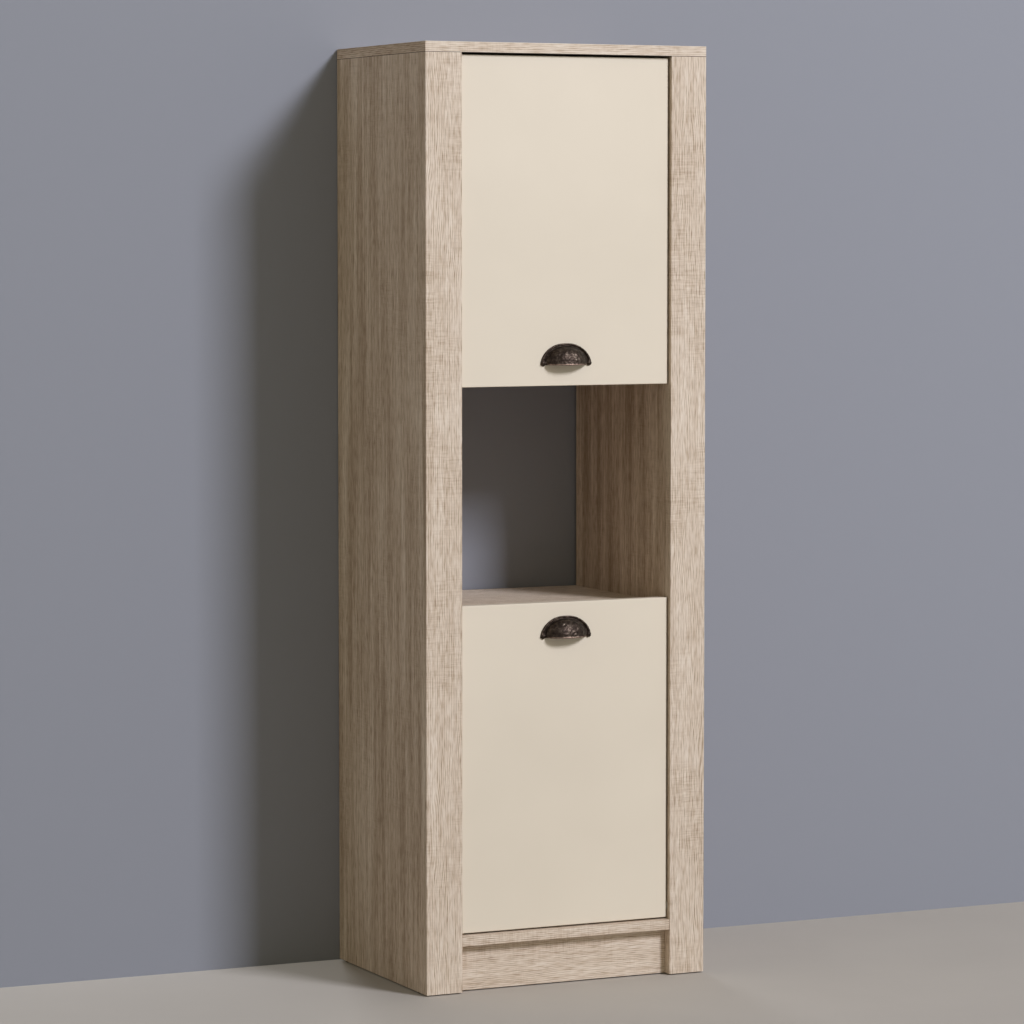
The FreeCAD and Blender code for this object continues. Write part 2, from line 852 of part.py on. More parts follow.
def fit_pull(label, leaf, lip_z):
    """A cup pull on a door leaf, with its two screws through the leaf."""
    cup_pull(f"{label}_cup_pull", lip_z)
    spots = [(S.pull_hole_spacing / 2 * sign, lip_z + S.pull_boss_height) for _, sign in SIDES]
    leaf.bore("back", spots, S.pull_screw_radius + CLEAR, S.door_thickness)
    leaf.bore("back", spots, S.small_screw_head_radius + CLEAR, S.small_screw_head)
    length = S.door_thickness + S.pull_screw_depth
    group(
        f"{label}_pull_screws",
        [
            screw(
                (x, door_back, z),
                "-y",
                S.pull_screw_radius,
                length,
                S.small_screw_head_radius,
                S.small_screw_head,
            )
            for x, z in spots
        ],
    )


fit_pull("upper", upper_door, door_low + S.upper_pull_above_edge)
fit_pull("lower", lower_flap, flap_high - S.lower_pull_below_edge)


# ---- concealed hinges of the upper door ----------------------------------------------------------

# The arm's nose turns on a pin across the cup. The neck leaves the nose towards the cup's far side
# and turns back behind the door, so that the door's edge can swing past it.
cup_x = S.cup_from_edge - door_x
hinge_x = S.hinge_axis_from_edge - door_x
cup_floor_y = door_back - S.cup_depth + S.cup_wall
hinge_y = cup_floor_y + S.hinge_nose_clearance + S.hinge_nose_radius
hinge_heights = (door_low + S.hinge_from_door_end, door_high - S.hinge_from_door_end)
cup_inner = S.cup_radius - S.cup_wall - CLEAR
NECK_ANGLE = 22
neck_turn = FreeCAD.Rotation(FreeCAD.Vector(0, 0, 1), NECK_ANGLE)
plate_front = hinge_y + S.hinge_neck_back
rail_x = -opening_x + S.hinge_plate_height
hinge_cups = []
hinge_pins = []
hinge_arms = []
hinge_plates = []
cup_screws = []
plate_screws = []
cup_screw_spots = []
plate_screw_spots = []
for z in hinge_heights:
    shell = rod((cup_x, door_back - S.cup_depth, z), "+y", S.cup_radius - CLEAR, S.cup_depth)
    wing_height = S.cup_screw_spacing + S.small_screw_head_radius * 4
    wing_x = S.small_screw_head_radius * 2
    flange = fuse(
        rod((cup_x, door_back, z), "+y", S.cup_radius + S.cup_wall * 2, S.cup_flange_thickness),
        box(
            (cup_x - wing_x, door_back, z - wing_height / 2),
            (wing_x * 2, S.cup_flange_thickness, wing_height),
        ),
    )
    hollow = rod(
        (cup_x, cup_floor_y, z), "+y", cup_inner, S.cup_depth + S.cup_flange_thickness
    )
    spots = [(cup_x, z + S.cup_screw_spacing / 2 * sign) for _, sign in SIDES]
    holes = [
        rod((x, door_back, hole_z), "+y", S.small_screw_head_radius + CLEAR, S.cup_flange_thickness)
        for x, hole_z in spots
    ]
    hinge_cups.append(cut(cut(fuse(shell, flange), hollow), fuse(*holes)))
    cup_screw_spots += spots
    cup_screws += [
        small_screw((x, door_back + S.cup_flange_thickness, hole_z), "-y") for x, hole_z in spots
    ]

    off_centre = cup_x - hinge_x + S.hinge_pin_radius
    chord = root(cup_inner * cup_inner - off_centre * off_centre)
    hinge_pins.append(
        rod(
            (hinge_x, hinge_y, z - chord + CLEAR),
            "+z",
            S.hinge_pin_radius,
            (chord - CLEAR) * 2,
        )
    )

    half_arm = S.hinge_arm_width / 2
    thick = S.hinge_neck_thickness
    nose = rod((hinge_x, hinge_y, z - half_arm), "+z", S.hinge_nose_radius, S.hinge_arm_width)
    neck = box((hinge_x, hinge_y, z - half_arm), (S.hinge_neck_reach, thick, S.hinge_arm_width))
    neck.Placement.Rotation = neck_turn
    cos_neck = math.cos(math.radians(NECK_ANGLE))
    sin_neck = math.sin(math.radians(NECK_ANGLE))
    bend_x = hinge_x + S.hinge_neck_reach * cos_neck - thick
    bend_y = hinge_y + S.hinge_neck_reach * sin_neck
    upright = box((bend_x, bend_y, z - half_arm), (thick, plate_front - bend_y, S.hinge_arm_width))
    crossbar = box(
        (-opening_x + S.hinge_plate_height, plate_front - thick, z - half_arm),
        (bend_x + thick - rail_x, thick, S.hinge_arm_width),
    )
    rail_cover = box(
        (rail_x, plate_front - thick, z - half_arm), (thick * 2, S.hinge_arm_length, S.hinge_arm_width)
    )
    eye = rod(
        (hinge_x, hinge_y, z - half_arm),
        "+z",
        S.hinge_pin_radius + S.hinge_pin_clearance,
        S.hinge_arm_width,
    )
    hinge_arms.append(cut(fuse(nose, neck, upright, crossbar, rail_cover), eye))

    rail_half = S.hinge_arm_width / 2 - thick / 2
    rail = box(
        (-opening_x, plate_front, z - rail_half),
        (S.hinge_plate_height, S.hinge_plate_length, rail_half * 2),
    )
    wing_y = plate_front + S.hinge_plate_length / 2
    wing_half = S.hinge_plate_screw_spacing / 2 + S.small_screw_head_radius * 2
    wing = box(
        (-opening_x, wing_y - S.small_screw_head_radius * 2, z - wing_half),
        (S.small_screw_head, S.small_screw_head_radius * 4, wing_half * 2),
    )
    spots = [(wing_y, z + S.hinge_plate_screw_spacing / 2 * sign) for _, sign in SIDES]
    holes = [
        rod((-opening_x, y, hole_z), "+x", S.small_screw_head_radius + CLEAR, S.small_screw_head)
        for y, hole_z in spots
    ]
    hinge_plates.append(cut(fuse(rail, wing), fuse(*holes)))
    plate_screw_spots += spots
    plate_screws += [
        small_screw((-opening_x + S.small_screw_head, y, hole_z), "-x") for y, hole_z in spots
    ]
upper_door.bore("back", [(cup_x, z) for z in hinge_heights], S.cup_radius, S.cup_depth)
upper_door.bore("back", cup_screw_spots, S.small_screw_radius + CLEAR, S.small_screw_length)
inner_sides["left"].bore(
    "right", plate_screw_spots, S.small_screw_radius + CLEAR, S.small_screw_length
)
group("hinge_cups", hinge_cups)
group("hinge_pins", hinge_pins)
group("hinge_arms", hinge_arms)
group("hinge_plates", hinge_plates)
group("hinge_cup_screws", cup_screws)
group("hinge_plate_screws", plate_screws)


# ---- magnetic catch of the upper door ------------------------------------------------------------

catch_x = door_x - S.catch_from_edge
catch_front = door_back + S.strike_thickness + S.contact_clearance
catch_body = box(
    (catch_x - S.catch_width / 2, catch_front, ceiling_top), (S.catch_width, S.catch_depth, S.catch_height)
)
catch_screw_x = S.catch_width / 2 - S.catch_screw_from_edge
catch_screw_y = catch_front + S.catch_depth - S.catch_screw_from_back
catch_spots = [(catch_x + catch_screw_x * sign, catch_screw_y) for _, sign in SIDES]
ear_height = S.small_screw_head * 2
ear_cuts = [
    box(
        (
            x - S.catch_screw_from_edge,
            y - S.catch_screw_from_edge,
            ceiling_top + ear_height,
        ),
        (S.catch_screw_from_edge * 2, S.catch_depth, S.catch_height),
    )
    for x, y in catch_spots
]
catch_holes = [
    rod((x, y, ceiling_top), "+z", S.small_screw_radius + CLEAR, ear_height) for x, y in catch_spots
] + [
    rod(
        (x, y, ceiling_top + ear_height - S.small_screw_head),
        "+z",
        S.small_screw_head_radius + CLEAR,
        S.small_screw_head,
    )
    for x, y in catch_spots
]
keep("magnetic_catch", cut(catch_body, fuse(*ear_cuts, *catch_holes)))
niche_ceiling.bore("top", catch_spots, S.small_screw_radius + CLEAR, S.small_screw_length)
strike_z = ceiling_top + S.catch_height / 2
strike = box(
    (catch_x - S.catch_width / 2, door_back, ceiling_top),
    (S.catch_width, S.strike_thickness, S.catch_height),
)
strike_hole = rod(
    (catch_x, door_back, strike_z), "+y", S.small_screw_head_radius + CLEAR, S.strike_thickness
)
keep("catch_strike_plate", cut(strike, strike_hole))
upper_door.bore("back", [(catch_x, strike_z)], S.small_screw_radius + CLEAR, S.small_screw_length)
group(
    "catch_screws",
    [small_screw((x, y, ceiling_top + ear_height), "-z") for x, y in catch_spots],
)
group("strike_screw", [small_screw((catch_x, door_back + S.strike_thickness, strike_z), "-y")])


# ---- flap pivots and stays -----------------------------------------------------------------------

axis_y = door_front + S.flap_axis_back
axis_z = flap_low + S.flap_axis_up
pivot_pins = []
bushes = []
for name, sign in SIDES:
    outward = "-x" if sign < 0 else "+x"
    room_face = "right" if sign < 0 else "left"
    spot = (axis_y, axis_z)
    start_x = (door_x - S.flap_pin_grip) * sign
    pin_length = S.flap_pin_grip + S.door_gap + S.flap_bush_length - S.flap_bush_flange_thickness
    pivot_pins.append(rod((start_x, axis_y, axis_z), outward, S.flap_pin_radius, pin_length))
    lower_flap.bore(
        "left" if sign < 0 else "right",
        [spot],
        S.flap_pin_radius + CLEAR,
        S.flap_pin_grip + CLEAR,
    )
    flange = rod(
        ((opening_x - S.flap_bush_flange_thickness) * sign, axis_y, axis_z),
        outward,
        S.flap_bush_flange_radius,
        S.flap_bush_flange_thickness,
    )
    barrel = rod((opening_x * sign, axis_y, axis_z), outward, S.flap_bush_radius, S.flap_bush_length)
    eye = rod(
        ((opening_x - S.flap_bush_flange_thickness) * sign, axis_y, axis_z),
        outward,
        S.flap_pin_radius + S.flap_pin_clearance,
        S.flap_bush_length,
    )
    bushes.append(cut(fuse(flange, barrel), eye))
    inner_sides[name].bore(room_face, [spot], S.flap_bush_radius + CLEAR, S.flap_bush_length + CLEAR)
    stiles[name].bore(room_face, [spot], S.flap_bush_radius + CLEAR, S.flap_bush_length + CLEAR)
group("flap_pivot_pins", pivot_pins)
group("flap_bushes", bushes)

guide_rise = root(S.stay_radius * S.stay_radius - S.guide_back * S.guide_back)
guide_y = axis_y + S.guide_back
guide_z = axis_z + guide_rise
DEGREES_PER_RADIAN = 180 / math.pi
guide_angle = (S.guide_back + S.guide_length / 2) / S.stay_radius * DEGREES_PER_RADIAN
stay_angle = S.flap_open_angle + guide_angle + S.stay_stop_gap_angle + S.stay_stop_angle


def arc_bar(right_x, middle_radius, height, thickness, angle):
    """Part of a flat ring round the flap's axis, from straight up to an angle behind it."""
    outer = rod((right_x, axis_y, axis_z), "-x", middle_radius + height / 2, thickness)
    bind(outer, "Angle", angle)
    inner = rod((right_x, axis_y, axis_z), "-x", middle_radius - height / 2, thickness)
    bind(inner, "Angle", angle)
    return cut(outer, inner)


stays = []
guides = []
stay_screws = []
guide_screws = []
stay_spots = []
guide_spots = {}
for name, sign in SIDES:
    middle_x = (door_x - S.stay_from_edge) * sign
    right_x = middle_x + S.stay_thickness / 2
    bar = arc_bar(right_x, S.stay_radius, S.stay_height, S.stay_thickness, stay_angle)
    stop = cut(
        arc_bar(right_x, S.stay_radius, S.stay_stop_height, S.stay_thickness, stay_angle),
        arc_bar(
            right_x, S.stay_radius, S.stay_stop_height, S.stay_thickness, stay_angle - S.stay_stop_angle
        ),
    )
    trim = box(
        (middle_x - S.stay_foot_width, door_front - S.door_thickness, axis_z),
        (S.stay_foot_width * 2, door_back - door_front + S.door_thickness, S.stay_radius * 2),
    )
    plate_z = axis_z + S.stay_radius - S.stay_foot_height / 2
    foot_low_x = middle_x + S.stay_thickness / 2 * sign
    foot_x = foot_low_x if sign < 0 else foot_low_x - S.stay_foot_width
    plate = box((foot_x, door_back, plate_z), (S.stay_foot_width, S.stay_thickness, S.stay_foot_height))
    screw_x = foot_x + S.stay_foot_width / 2
    spots = [
        (screw_x, plate_z + S.stay_foot_height / 2 + S.stay_foot_height / 4 * step) for step in (-1, 1)
    ]
    foot_holes = [
        rod((x, door_back, z), "+y", S.small_screw_head_radius + CLEAR, S.stay_thickness)
        for x, z in spots
    ]
    stays.append(cut(fuse(cut(bar, trim), stop, plate), fuse(*foot_holes)))
    stay_spots += spots
    stay_screws += [small_screw((x, door_back + S.stay_thickness, z), "-y") for x, z in spots]

    clear = S.guide_clearance
    guide_reach = opening_x - (door_x - S.stay_from_edge) + S.stay_thickness / 2 + S.guide_lip
    guide_low_x = -opening_x if sign < 0 else opening_x - guide_reach
    block = box(
        (guide_low_x, guide_y - S.guide_length / 2, guide_z - S.guide_height / 2),
        (guide_reach, S.guide_length, S.guide_height),
    )
    slot = arc_bar(
        right_x + clear,
        S.stay_radius,
        S.stay_height + clear * 2,
        S.stay_thickness + clear * 2,
        stay_angle,
    )
    screw_rise = S.guide_height / 2 - S.guide_screw_from_end
    wall_spots = [(guide_y, guide_z + screw_rise * step) for step in (-1, 1)]
    outward = "-x" if sign < 0 else "+x"
    lip_x = (opening_x - guide_reach) * sign
    access = [
        rod((lip_x, y, z), outward, S.small_screw_radius + CLEAR, guide_reach) for y, z in wall_spots
    ] + [
        rod((lip_x, y, z), outward, S.small_screw_head_radius + CLEAR, S.small_screw_head)
        for y, z in wall_spots
    ]
    guides.append(cut(block, fuse(slot, *access)))
    guide_spots[name] = wall_spots
    guide_screws += [
        screw(
            (lip_x, y, z),
            outward,
            S.small_screw_radius,
            guide_reach + S.small_screw_length,
            S.small_screw_head_radius,
            S.small_screw_head,
        )
        for y, z in wall_spots
    ]
    inner_sides[name].bore(
        "right" if sign < 0 else "left",
        wall_spots,
        S.small_screw_radius + CLEAR,
        S.small_screw_length + CLEAR,
    )
lower_flap.bore("back", stay_spots, S.small_screw_radius + CLEAR, S.small_screw_length)
group("flap_stays", stays)
group("stay_guides", guides)
group("stay_screws", stay_screws)
group("guide_screws", guide_screws)

bumper_length = S.bumper_gap - S.contact_clearance
group(
    "flap_bumpers",
    [
        rod(
            (
                (opening_x - S.bumper_from_side) * sign,
                door_back + S.contact_clearance,
                niche_floor_top - board / 2,
            ),
            "+y",
            S.bumper_radius,
            bumper_length,
        )
        for _, sign in SIDES
    ],
)


# ---- bag frame and laundry bag -------------------------------------------------------------------

wire = S.frame_wire_radius
bag_gap = wire + S.bag_clearance
bag_low = bottom_top + S.bag_floor_gap
bag_top = bag_low + S.bag_height
frame_z = bag_top - bag_gap
frame_front = door_back + S.frame_from_flap
frame_back = frame_front + S.frame_depth
corner = S.frame_corner_radius
frame_x = door_x - S.frame_from_door_side
straight_x = (frame_x - corner) * 2
straight_y = S.frame_depth - corner * 2
loop = [
    rod((corner - frame_x, frame_front, frame_z), "+x", wire, straight_x),
    rod((corner - frame_x, frame_back, frame_z), "+x", wire, straight_x),
    rod((-frame_x, frame_front + corner, frame_z), "+y", wire, straight_y),
    rod((frame_x, frame_front + corner, frame_z), "+y", wire, straight_y),
]
CORNERS = ((1, 1, 0), (-1, 1, 90), (-1, -1, 180), (1, -1, 270))
for across, along, angle in CORNERS:
    bend = doc.addObject("Part::Torus", "bend")
    bind(bend, "Radius1", corner)
    bind(bend, "Radius2", wire)
    bend.Angle3 = 90
    bend_y = frame_back - corner if along > 0 else frame_front + corner
    place(
        bend,
        ((frame_x - corner) * across, bend_y, frame_z),
        FreeCAD.Rotation(FreeCAD.Vector(0, 0, 1), angle),
    )
    loop.append(bend)
strut_foot_y = door_back + S.contact_clearance + wire
strut_top_y = strut_foot_y + S.strut_drop
strut_length = S.strut_drop * math.sqrt(2)
strut_turn = FreeCAD.Rotation(FreeCAD.Vector(1, 0, 0), 135)


def strut(x, radius):
    """A brace from the frame's side wire down to the flap at forty-five degrees."""
    return rod((x, strut_top_y, frame_z), "", radius, strut_length, strut_turn)


for _, sign in SIDES:
    loop.append(strut(frame_x * sign, wire))
keep("bag_frame", fuse(*loop))

# Each clip is an open cradle for the wire, with a screw ear below it, under the bag's folded rim.
clip_x = frame_x - corner - S.clip_width
clip_depth = S.frame_from_flap
ear_reach = S.small_screw_head_radius * 3
ear_depth = S.small_screw_head * 2
clips = []
clip_screws = []
clip_spots = []


def frame_clip(x, z, seat):
    """A cradle on the flap's back for a wire at a height, cut by the wire's own seat."""
    low_z = z - S.clip_height / 2
    screw_z = low_z - ear_reach / 2
    block = box(
        (x - S.clip_width / 2, door_back, low_z - ear_reach),
        (S.clip_width, clip_depth, ear_reach + S.clip_height / 2 + wire),
    )
    step_cut = box(
        (x - S.clip_width / 2, door_back + ear_depth, low_z - ear_reach),
        (S.clip_width, clip_depth, ear_reach),
    )
    hole = rod((x, door_back, screw_z), "+y", S.small_screw_radius + CLEAR, ear_depth)
    sink = rod(
        (x, door_back + S.small_screw_head, screw_z),
        "+y",
        S.small_screw_head_radius + CLEAR,
        S.small_screw_head,
    )
    clips.append(cut(cut(block, fuse(step_cut, hole, sink)), seat))
    clip_spots.append((x, screw_z))
    clip_screws.append(small_screw((x, door_back + ear_depth, screw_z), "-y"))


for _, sign in SIDES:
    bar_x = clip_x * sign
    seat_radius = wire + S.clip_play
    bar_seat = rod((bar_x - S.clip_width, frame_front, frame_z), "+x", seat_radius, S.clip_width * 2)
    frame_clip(bar_x, frame_z, bar_seat)
    frame_clip(frame_x * sign, frame_z - S.strut_drop, strut(frame_x * sign, seat_radius))
lower_flap.bore("back", clip_spots, S.small_screw_radius + CLEAR, S.small_screw_length)
group("frame_clips", clips)
group("clip_screws", clip_screws)

bag_x = frame_x - bag_gap
bag_front = frame_front + bag_gap
bag_back = frame_back - bag_gap
bag_body = doc.addObject("PartDesign::Body", "laundry_bag")
place(bag_body, (ZERO, bag_front, bag_low))


def bag_outline(grow, lift):
    """A rectangle with rounded corners in plan, larger than the bag by grow."""
    across = bag_x + grow
    near = -grow
    far = bag_back - bag_front + grow
    bend = corner - bag_gap + grow
    corners = [
        (-across, near + bend),
        (-across + bend, near),
        (across - bend, near),
        (across, near + bend),
        (across, far - bend),
        (across - bend, far),
        (-across + bend, far),
        (-across, far - bend),
    ]
    arcs = {
        0: ((-across + bend, near + bend), True),
        2: ((across - bend, near + bend), True),
        4: ((across - bend, far - bend), True),
        6: ((-across + bend, far - bend), True),
    }
    return outline(bag_body, "XY", corners, arcs, lift)


pad(bag_body, bag_outline(ZERO, ZERO), S.bag_height)
pad(bag_body, bag_outline(S.bag_lip, S.bag_height), S.bag_wall)
pocket(
    bag_body,
    bag_outline(-S.bag_wall, S.bag_height + S.bag_wall),
    S.bag_height,
)
keep("laundry_bag", bag_body)


# ---- wall bracket --------------------------------------------------------------------------------

leaf = S.bracket_leaf
thin = S.bracket_thickness
bracket_x = S.bracket_width / 2
hang = box((-bracket_x, inner_back - thin, carcass_top - leaf), (S.bracket_width, thin, leaf))
flat = box((-bracket_x, inner_back - leaf, carcass_top - thin), (S.bracket_width, leaf, thin))
hole_z = carcass_top - leaf / 2
hole_spots = [(S.bracket_hole_spacing / 2 * sign, hole_z) for _, sign in SIDES]
wall_holes = [
    rod((x, inner_back - thin, z), "+y", S.bracket_hole_radius, thin) for x, z in hole_spots
]
flat_spots = [(x, inner_back - S.bracket_screw_from_back) for x, _ in hole_spots]
flat_holes = [
    rod((x, y, carcass_top - thin), "+z", S.small_screw_radius + CLEAR, thin) for x, y in flat_spots
] + [
    rod((x, y, carcass_top - thin), "+z", S.small_screw_head_radius + CLEAR, S.small_screw_head)
    for x, y in flat_spots
]
keep("wall_bracket", cut(fuse(hang, flat), fuse(*wall_holes, *flat_holes)))
upper_back_panel.bore(
    "back", hole_spots, S.bracket_hole_radius + S.wall_hole_play, S.back_panel_thickness
)
top_board.bore("under", flat_spots, S.small_screw_radius + CLEAR, S.small_screw_length)
group("bracket_screws", [small_screw((x, y, carcass_top - thin), "+z") for x, y in flat_spots])


# ---- checks and files ----------------------------------------------------------------------------

doc.recompute()
for thing in doc.Objects:
    if any(word in thing.State for word in ("Invalid", "Error")):
        raise RuntimeError(f"{thing.Label} ({thing.Name}) failed: {thing.State}")
for label, thing in nodes.items():
    if thing.Shape.isNull() or not thing.Shape.isValid() or not thing.Shape.Solids:
        raise RuntimeError(f"{label} has no valid solid")

os.makedirs("parts", exist_ok=True)
for label, thing in nodes.items():
    thing.Shape.exportStep(f"parts/{label}.step")
print(f"{len(nodes)} sub-parts, {sum(len(thing.Shape.Solids) for thing in nodes.values())} solids")
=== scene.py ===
# %% [markdown]
# # A tall bathroom cabinet
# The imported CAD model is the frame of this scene. It brings every board, hinge and screw at its
# real place, in metres, with Z up and the front towards -Y. This lesson gives the boards their
# foil and paint, makes the two cast cup pulls and the laundry bag anew, and lights the cabinet.

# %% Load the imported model
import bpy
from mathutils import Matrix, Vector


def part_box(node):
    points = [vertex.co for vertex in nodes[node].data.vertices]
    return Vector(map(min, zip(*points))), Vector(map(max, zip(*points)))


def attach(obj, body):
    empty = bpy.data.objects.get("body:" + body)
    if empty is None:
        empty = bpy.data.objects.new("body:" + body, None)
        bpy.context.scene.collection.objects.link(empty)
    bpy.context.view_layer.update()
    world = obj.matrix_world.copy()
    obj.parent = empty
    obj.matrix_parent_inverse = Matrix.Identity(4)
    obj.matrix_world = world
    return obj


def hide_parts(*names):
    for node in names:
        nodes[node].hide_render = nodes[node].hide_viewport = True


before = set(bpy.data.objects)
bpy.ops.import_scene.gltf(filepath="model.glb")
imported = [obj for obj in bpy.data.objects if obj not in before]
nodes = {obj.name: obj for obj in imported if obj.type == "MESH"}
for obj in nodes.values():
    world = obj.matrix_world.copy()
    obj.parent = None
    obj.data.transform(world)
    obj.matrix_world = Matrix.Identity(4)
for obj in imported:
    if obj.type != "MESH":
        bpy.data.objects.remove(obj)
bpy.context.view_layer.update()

# %%
import math

import bpy
import numpy as np

MM = 0.001

# %% [markdown]
# ## The camera
# The upright edges in the picture are almost parallel, so the camera stands far away with a long
# lens and looks down by only a few degrees. Its place was fitted to the cabinet's corners. The
# small shift of the picture plane keeps the uprights from converging.

# %% Make the camera
# How far it looks down and aside, in degrees.
DOWN, ASIDE = 3.867, 25.078
camera_data = bpy.data.cameras.new("camera")
camera_data.sensor_width = 36
camera_data.lens = 141.13
camera_data.shift_y = -0.02
camera = bpy.data.objects.new("camera", camera_data)
camera.location = (-2.9633, -6.29159, 1.30352)
camera.rotation_euler = (math.radians(90 - DOWN), 0, -math.radians(ASIDE))
bpy.context.scene.collection.objects.link(camera)
bpy.context.scene.camera = camera
print("camera", camera_data.lens, "mm")

# %% [markdown]
# ## Colour and nodes
# Colours are written as they look on screen, in hex, and one function turns them to linear light.
# A material is a small graph of nodes. One helper adds a node with its settings, sets or links
# its inputs, and gives back one output, so calls can be nested like a formula. An input is named,
# or numbered in the node's own order. Map Range takes the value, the range that it comes from and
# the range that it goes to as 0 to 4. Mix keeps two numbers at 2 and 3, and two colours at 6 and 7.

# %% Helpers for materials


def linear(hex_colour):
    """An sRGB hex colour as linear RGBA: each channel v becomes ((v + 0.055) / 1.055) ** 2.4."""
    values = np.array([int(hex_colour[i : i + 2], 16) for i in (1, 3, 5)]) / 255
    bright = ((values + 0.055) / 1.055) ** 2.4
    return [*np.where(values <= 0.04045, values / 12.92, bright).tolist(), 1.0]


def add(tree, kind, inputs=(), out=0, stops=(), **settings):
    """Add a shader node and return one of its outputs.

    An input is a number, a vector, a hex colour, or the output of another node, which is linked.
    stops are a colour ramp's places and hex colours.
    """
    node = tree.nodes.new("ShaderNode" + kind)
    for name, value in settings.items():
        setattr(node, name, value)
    for key, value in dict(inputs).items():
        if isinstance(value, bpy.types.NodeSocket):
            tree.links.new(value, node.inputs[key])
        else:
            node.inputs[key].default_value = linear(value) if isinstance(value, str) else value
    for index, (place, colour) in enumerate(stops):
        elements = node.color_ramp.elements
        element = elements[index] if index < 2 else elements.new(place)
        element.position, element.color = place, linear(colour)
    return node.outputs[out] if node.outputs else node


def new_material(name):
    """An empty material and its node tree."""
    material = bpy.data.materials.new(name)
    material.use_nodes = True
    material.node_tree.nodes.clear()
    return material, material.node_tree


def spots(tree, size_mm, detail=3.0, roughness=0.5):
    """Noise from 0 to 1 over the object, with spots of this size in millimetres."""
    place = add(tree, "TexCoord", out="Object")
    settings = {"Vector": place, "Scale": 1000 / size_mm, "Detail": detail, "Roughness": roughness}
    return add(tree, "TexNoise", settings)


def surface(tree, relief, depth_mm, eased_mm=0.0, **inputs):
    """End a material: a Principled shader, bent by a relief that is this deep where it is 1.

    eased_mm rounds sharp edges by that radius for the light, without new faces.
    """
    inputs = {name.replace("_", " "): value for name, value in inputs.items()}
    bend = {"Height": relief, "Distance": depth_mm * MM}
    if eased_mm:
        bend["Normal"] = add(tree, "Bevel", {"Radius": eased_mm * MM}, samples=4)
    inputs["Normal"] = add(tree, "Bump", bend)
    add(tree, "OutputMaterial", {0: add(tree, "BsdfPrincipled", inputs)})


print("helpers ready")

# %% [markdown]
# ## Oak foil
# The boards are chipboard wrapped in a printed oak foil, embossed with pores. The print has broad
# pale and dark streaks, fine growth lines that arch where the tree was cut flat, short dark
# pores, and patches of saw marks across the grain. Each is a noise that is stretched along the
# grain by its own real spacing. Real growth lines of such oak are 2 mm apart; they are drawn 3.2
# mm apart, because finer ones don't show from here. A line's place is its distance across plus a
# slow noise: where the noise wins, the line turns back on itself and makes an arch. To the eye
# this gives a pale, dry, finely combed surface, with hardly any gloss.

# %% Place the grain


def grain_place(tree, upright):
    """The distances across and along the grain in mm, as x and y of a vector, and a mask of ends.

    On an upright board, along is z and across is x + y, which keeps its scale on the front and
    the sides and runs on round the corner. On a level board, along is x and across is y + z, but
    on its ends, where the normal points along x, along is y and across is z.
    """
    place = add(tree, "TexCoord", out="Object")
    x, y, z = (add(tree, "SeparateXYZ", {0: place}, i) for i in range(3))
    if upright:
        across, along, end = add(tree, "Math", {0: x, 1: y}), z, 0.0
    else:
        normal = add(tree, "TexCoord", out="Normal")
        facing = add(tree, "VectorMath", {0: normal}, operation="ABSOLUTE")
        sideways = add(tree, "SeparateXYZ", {0: facing})
        end = add(tree, "Math", {0: sideways, 1: 0.7}, operation="GREATER_THAN")
        along = add(tree, "Mix", {0: end, 2: x, 3: y})
        across = add(tree, "Mix", {0: end, 2: add(tree, "Math", {0: y, 1: z}), 3: z})
    both = add(tree, "CombineXYZ", {0: across, 1: along})
    return add(tree, "VectorMath", {0: both, "Scale": 1 / MM}, operation="SCALE"), end


print("grain runs along z or x")

# %% Draw the grain
# The spacing of growth lines, the depth of the relief, and how round the boards' edges are.
LINE_PITCH_MM = 3.2
PORE_DEPTH_MM = 0.15
EASED_MM = 0.8


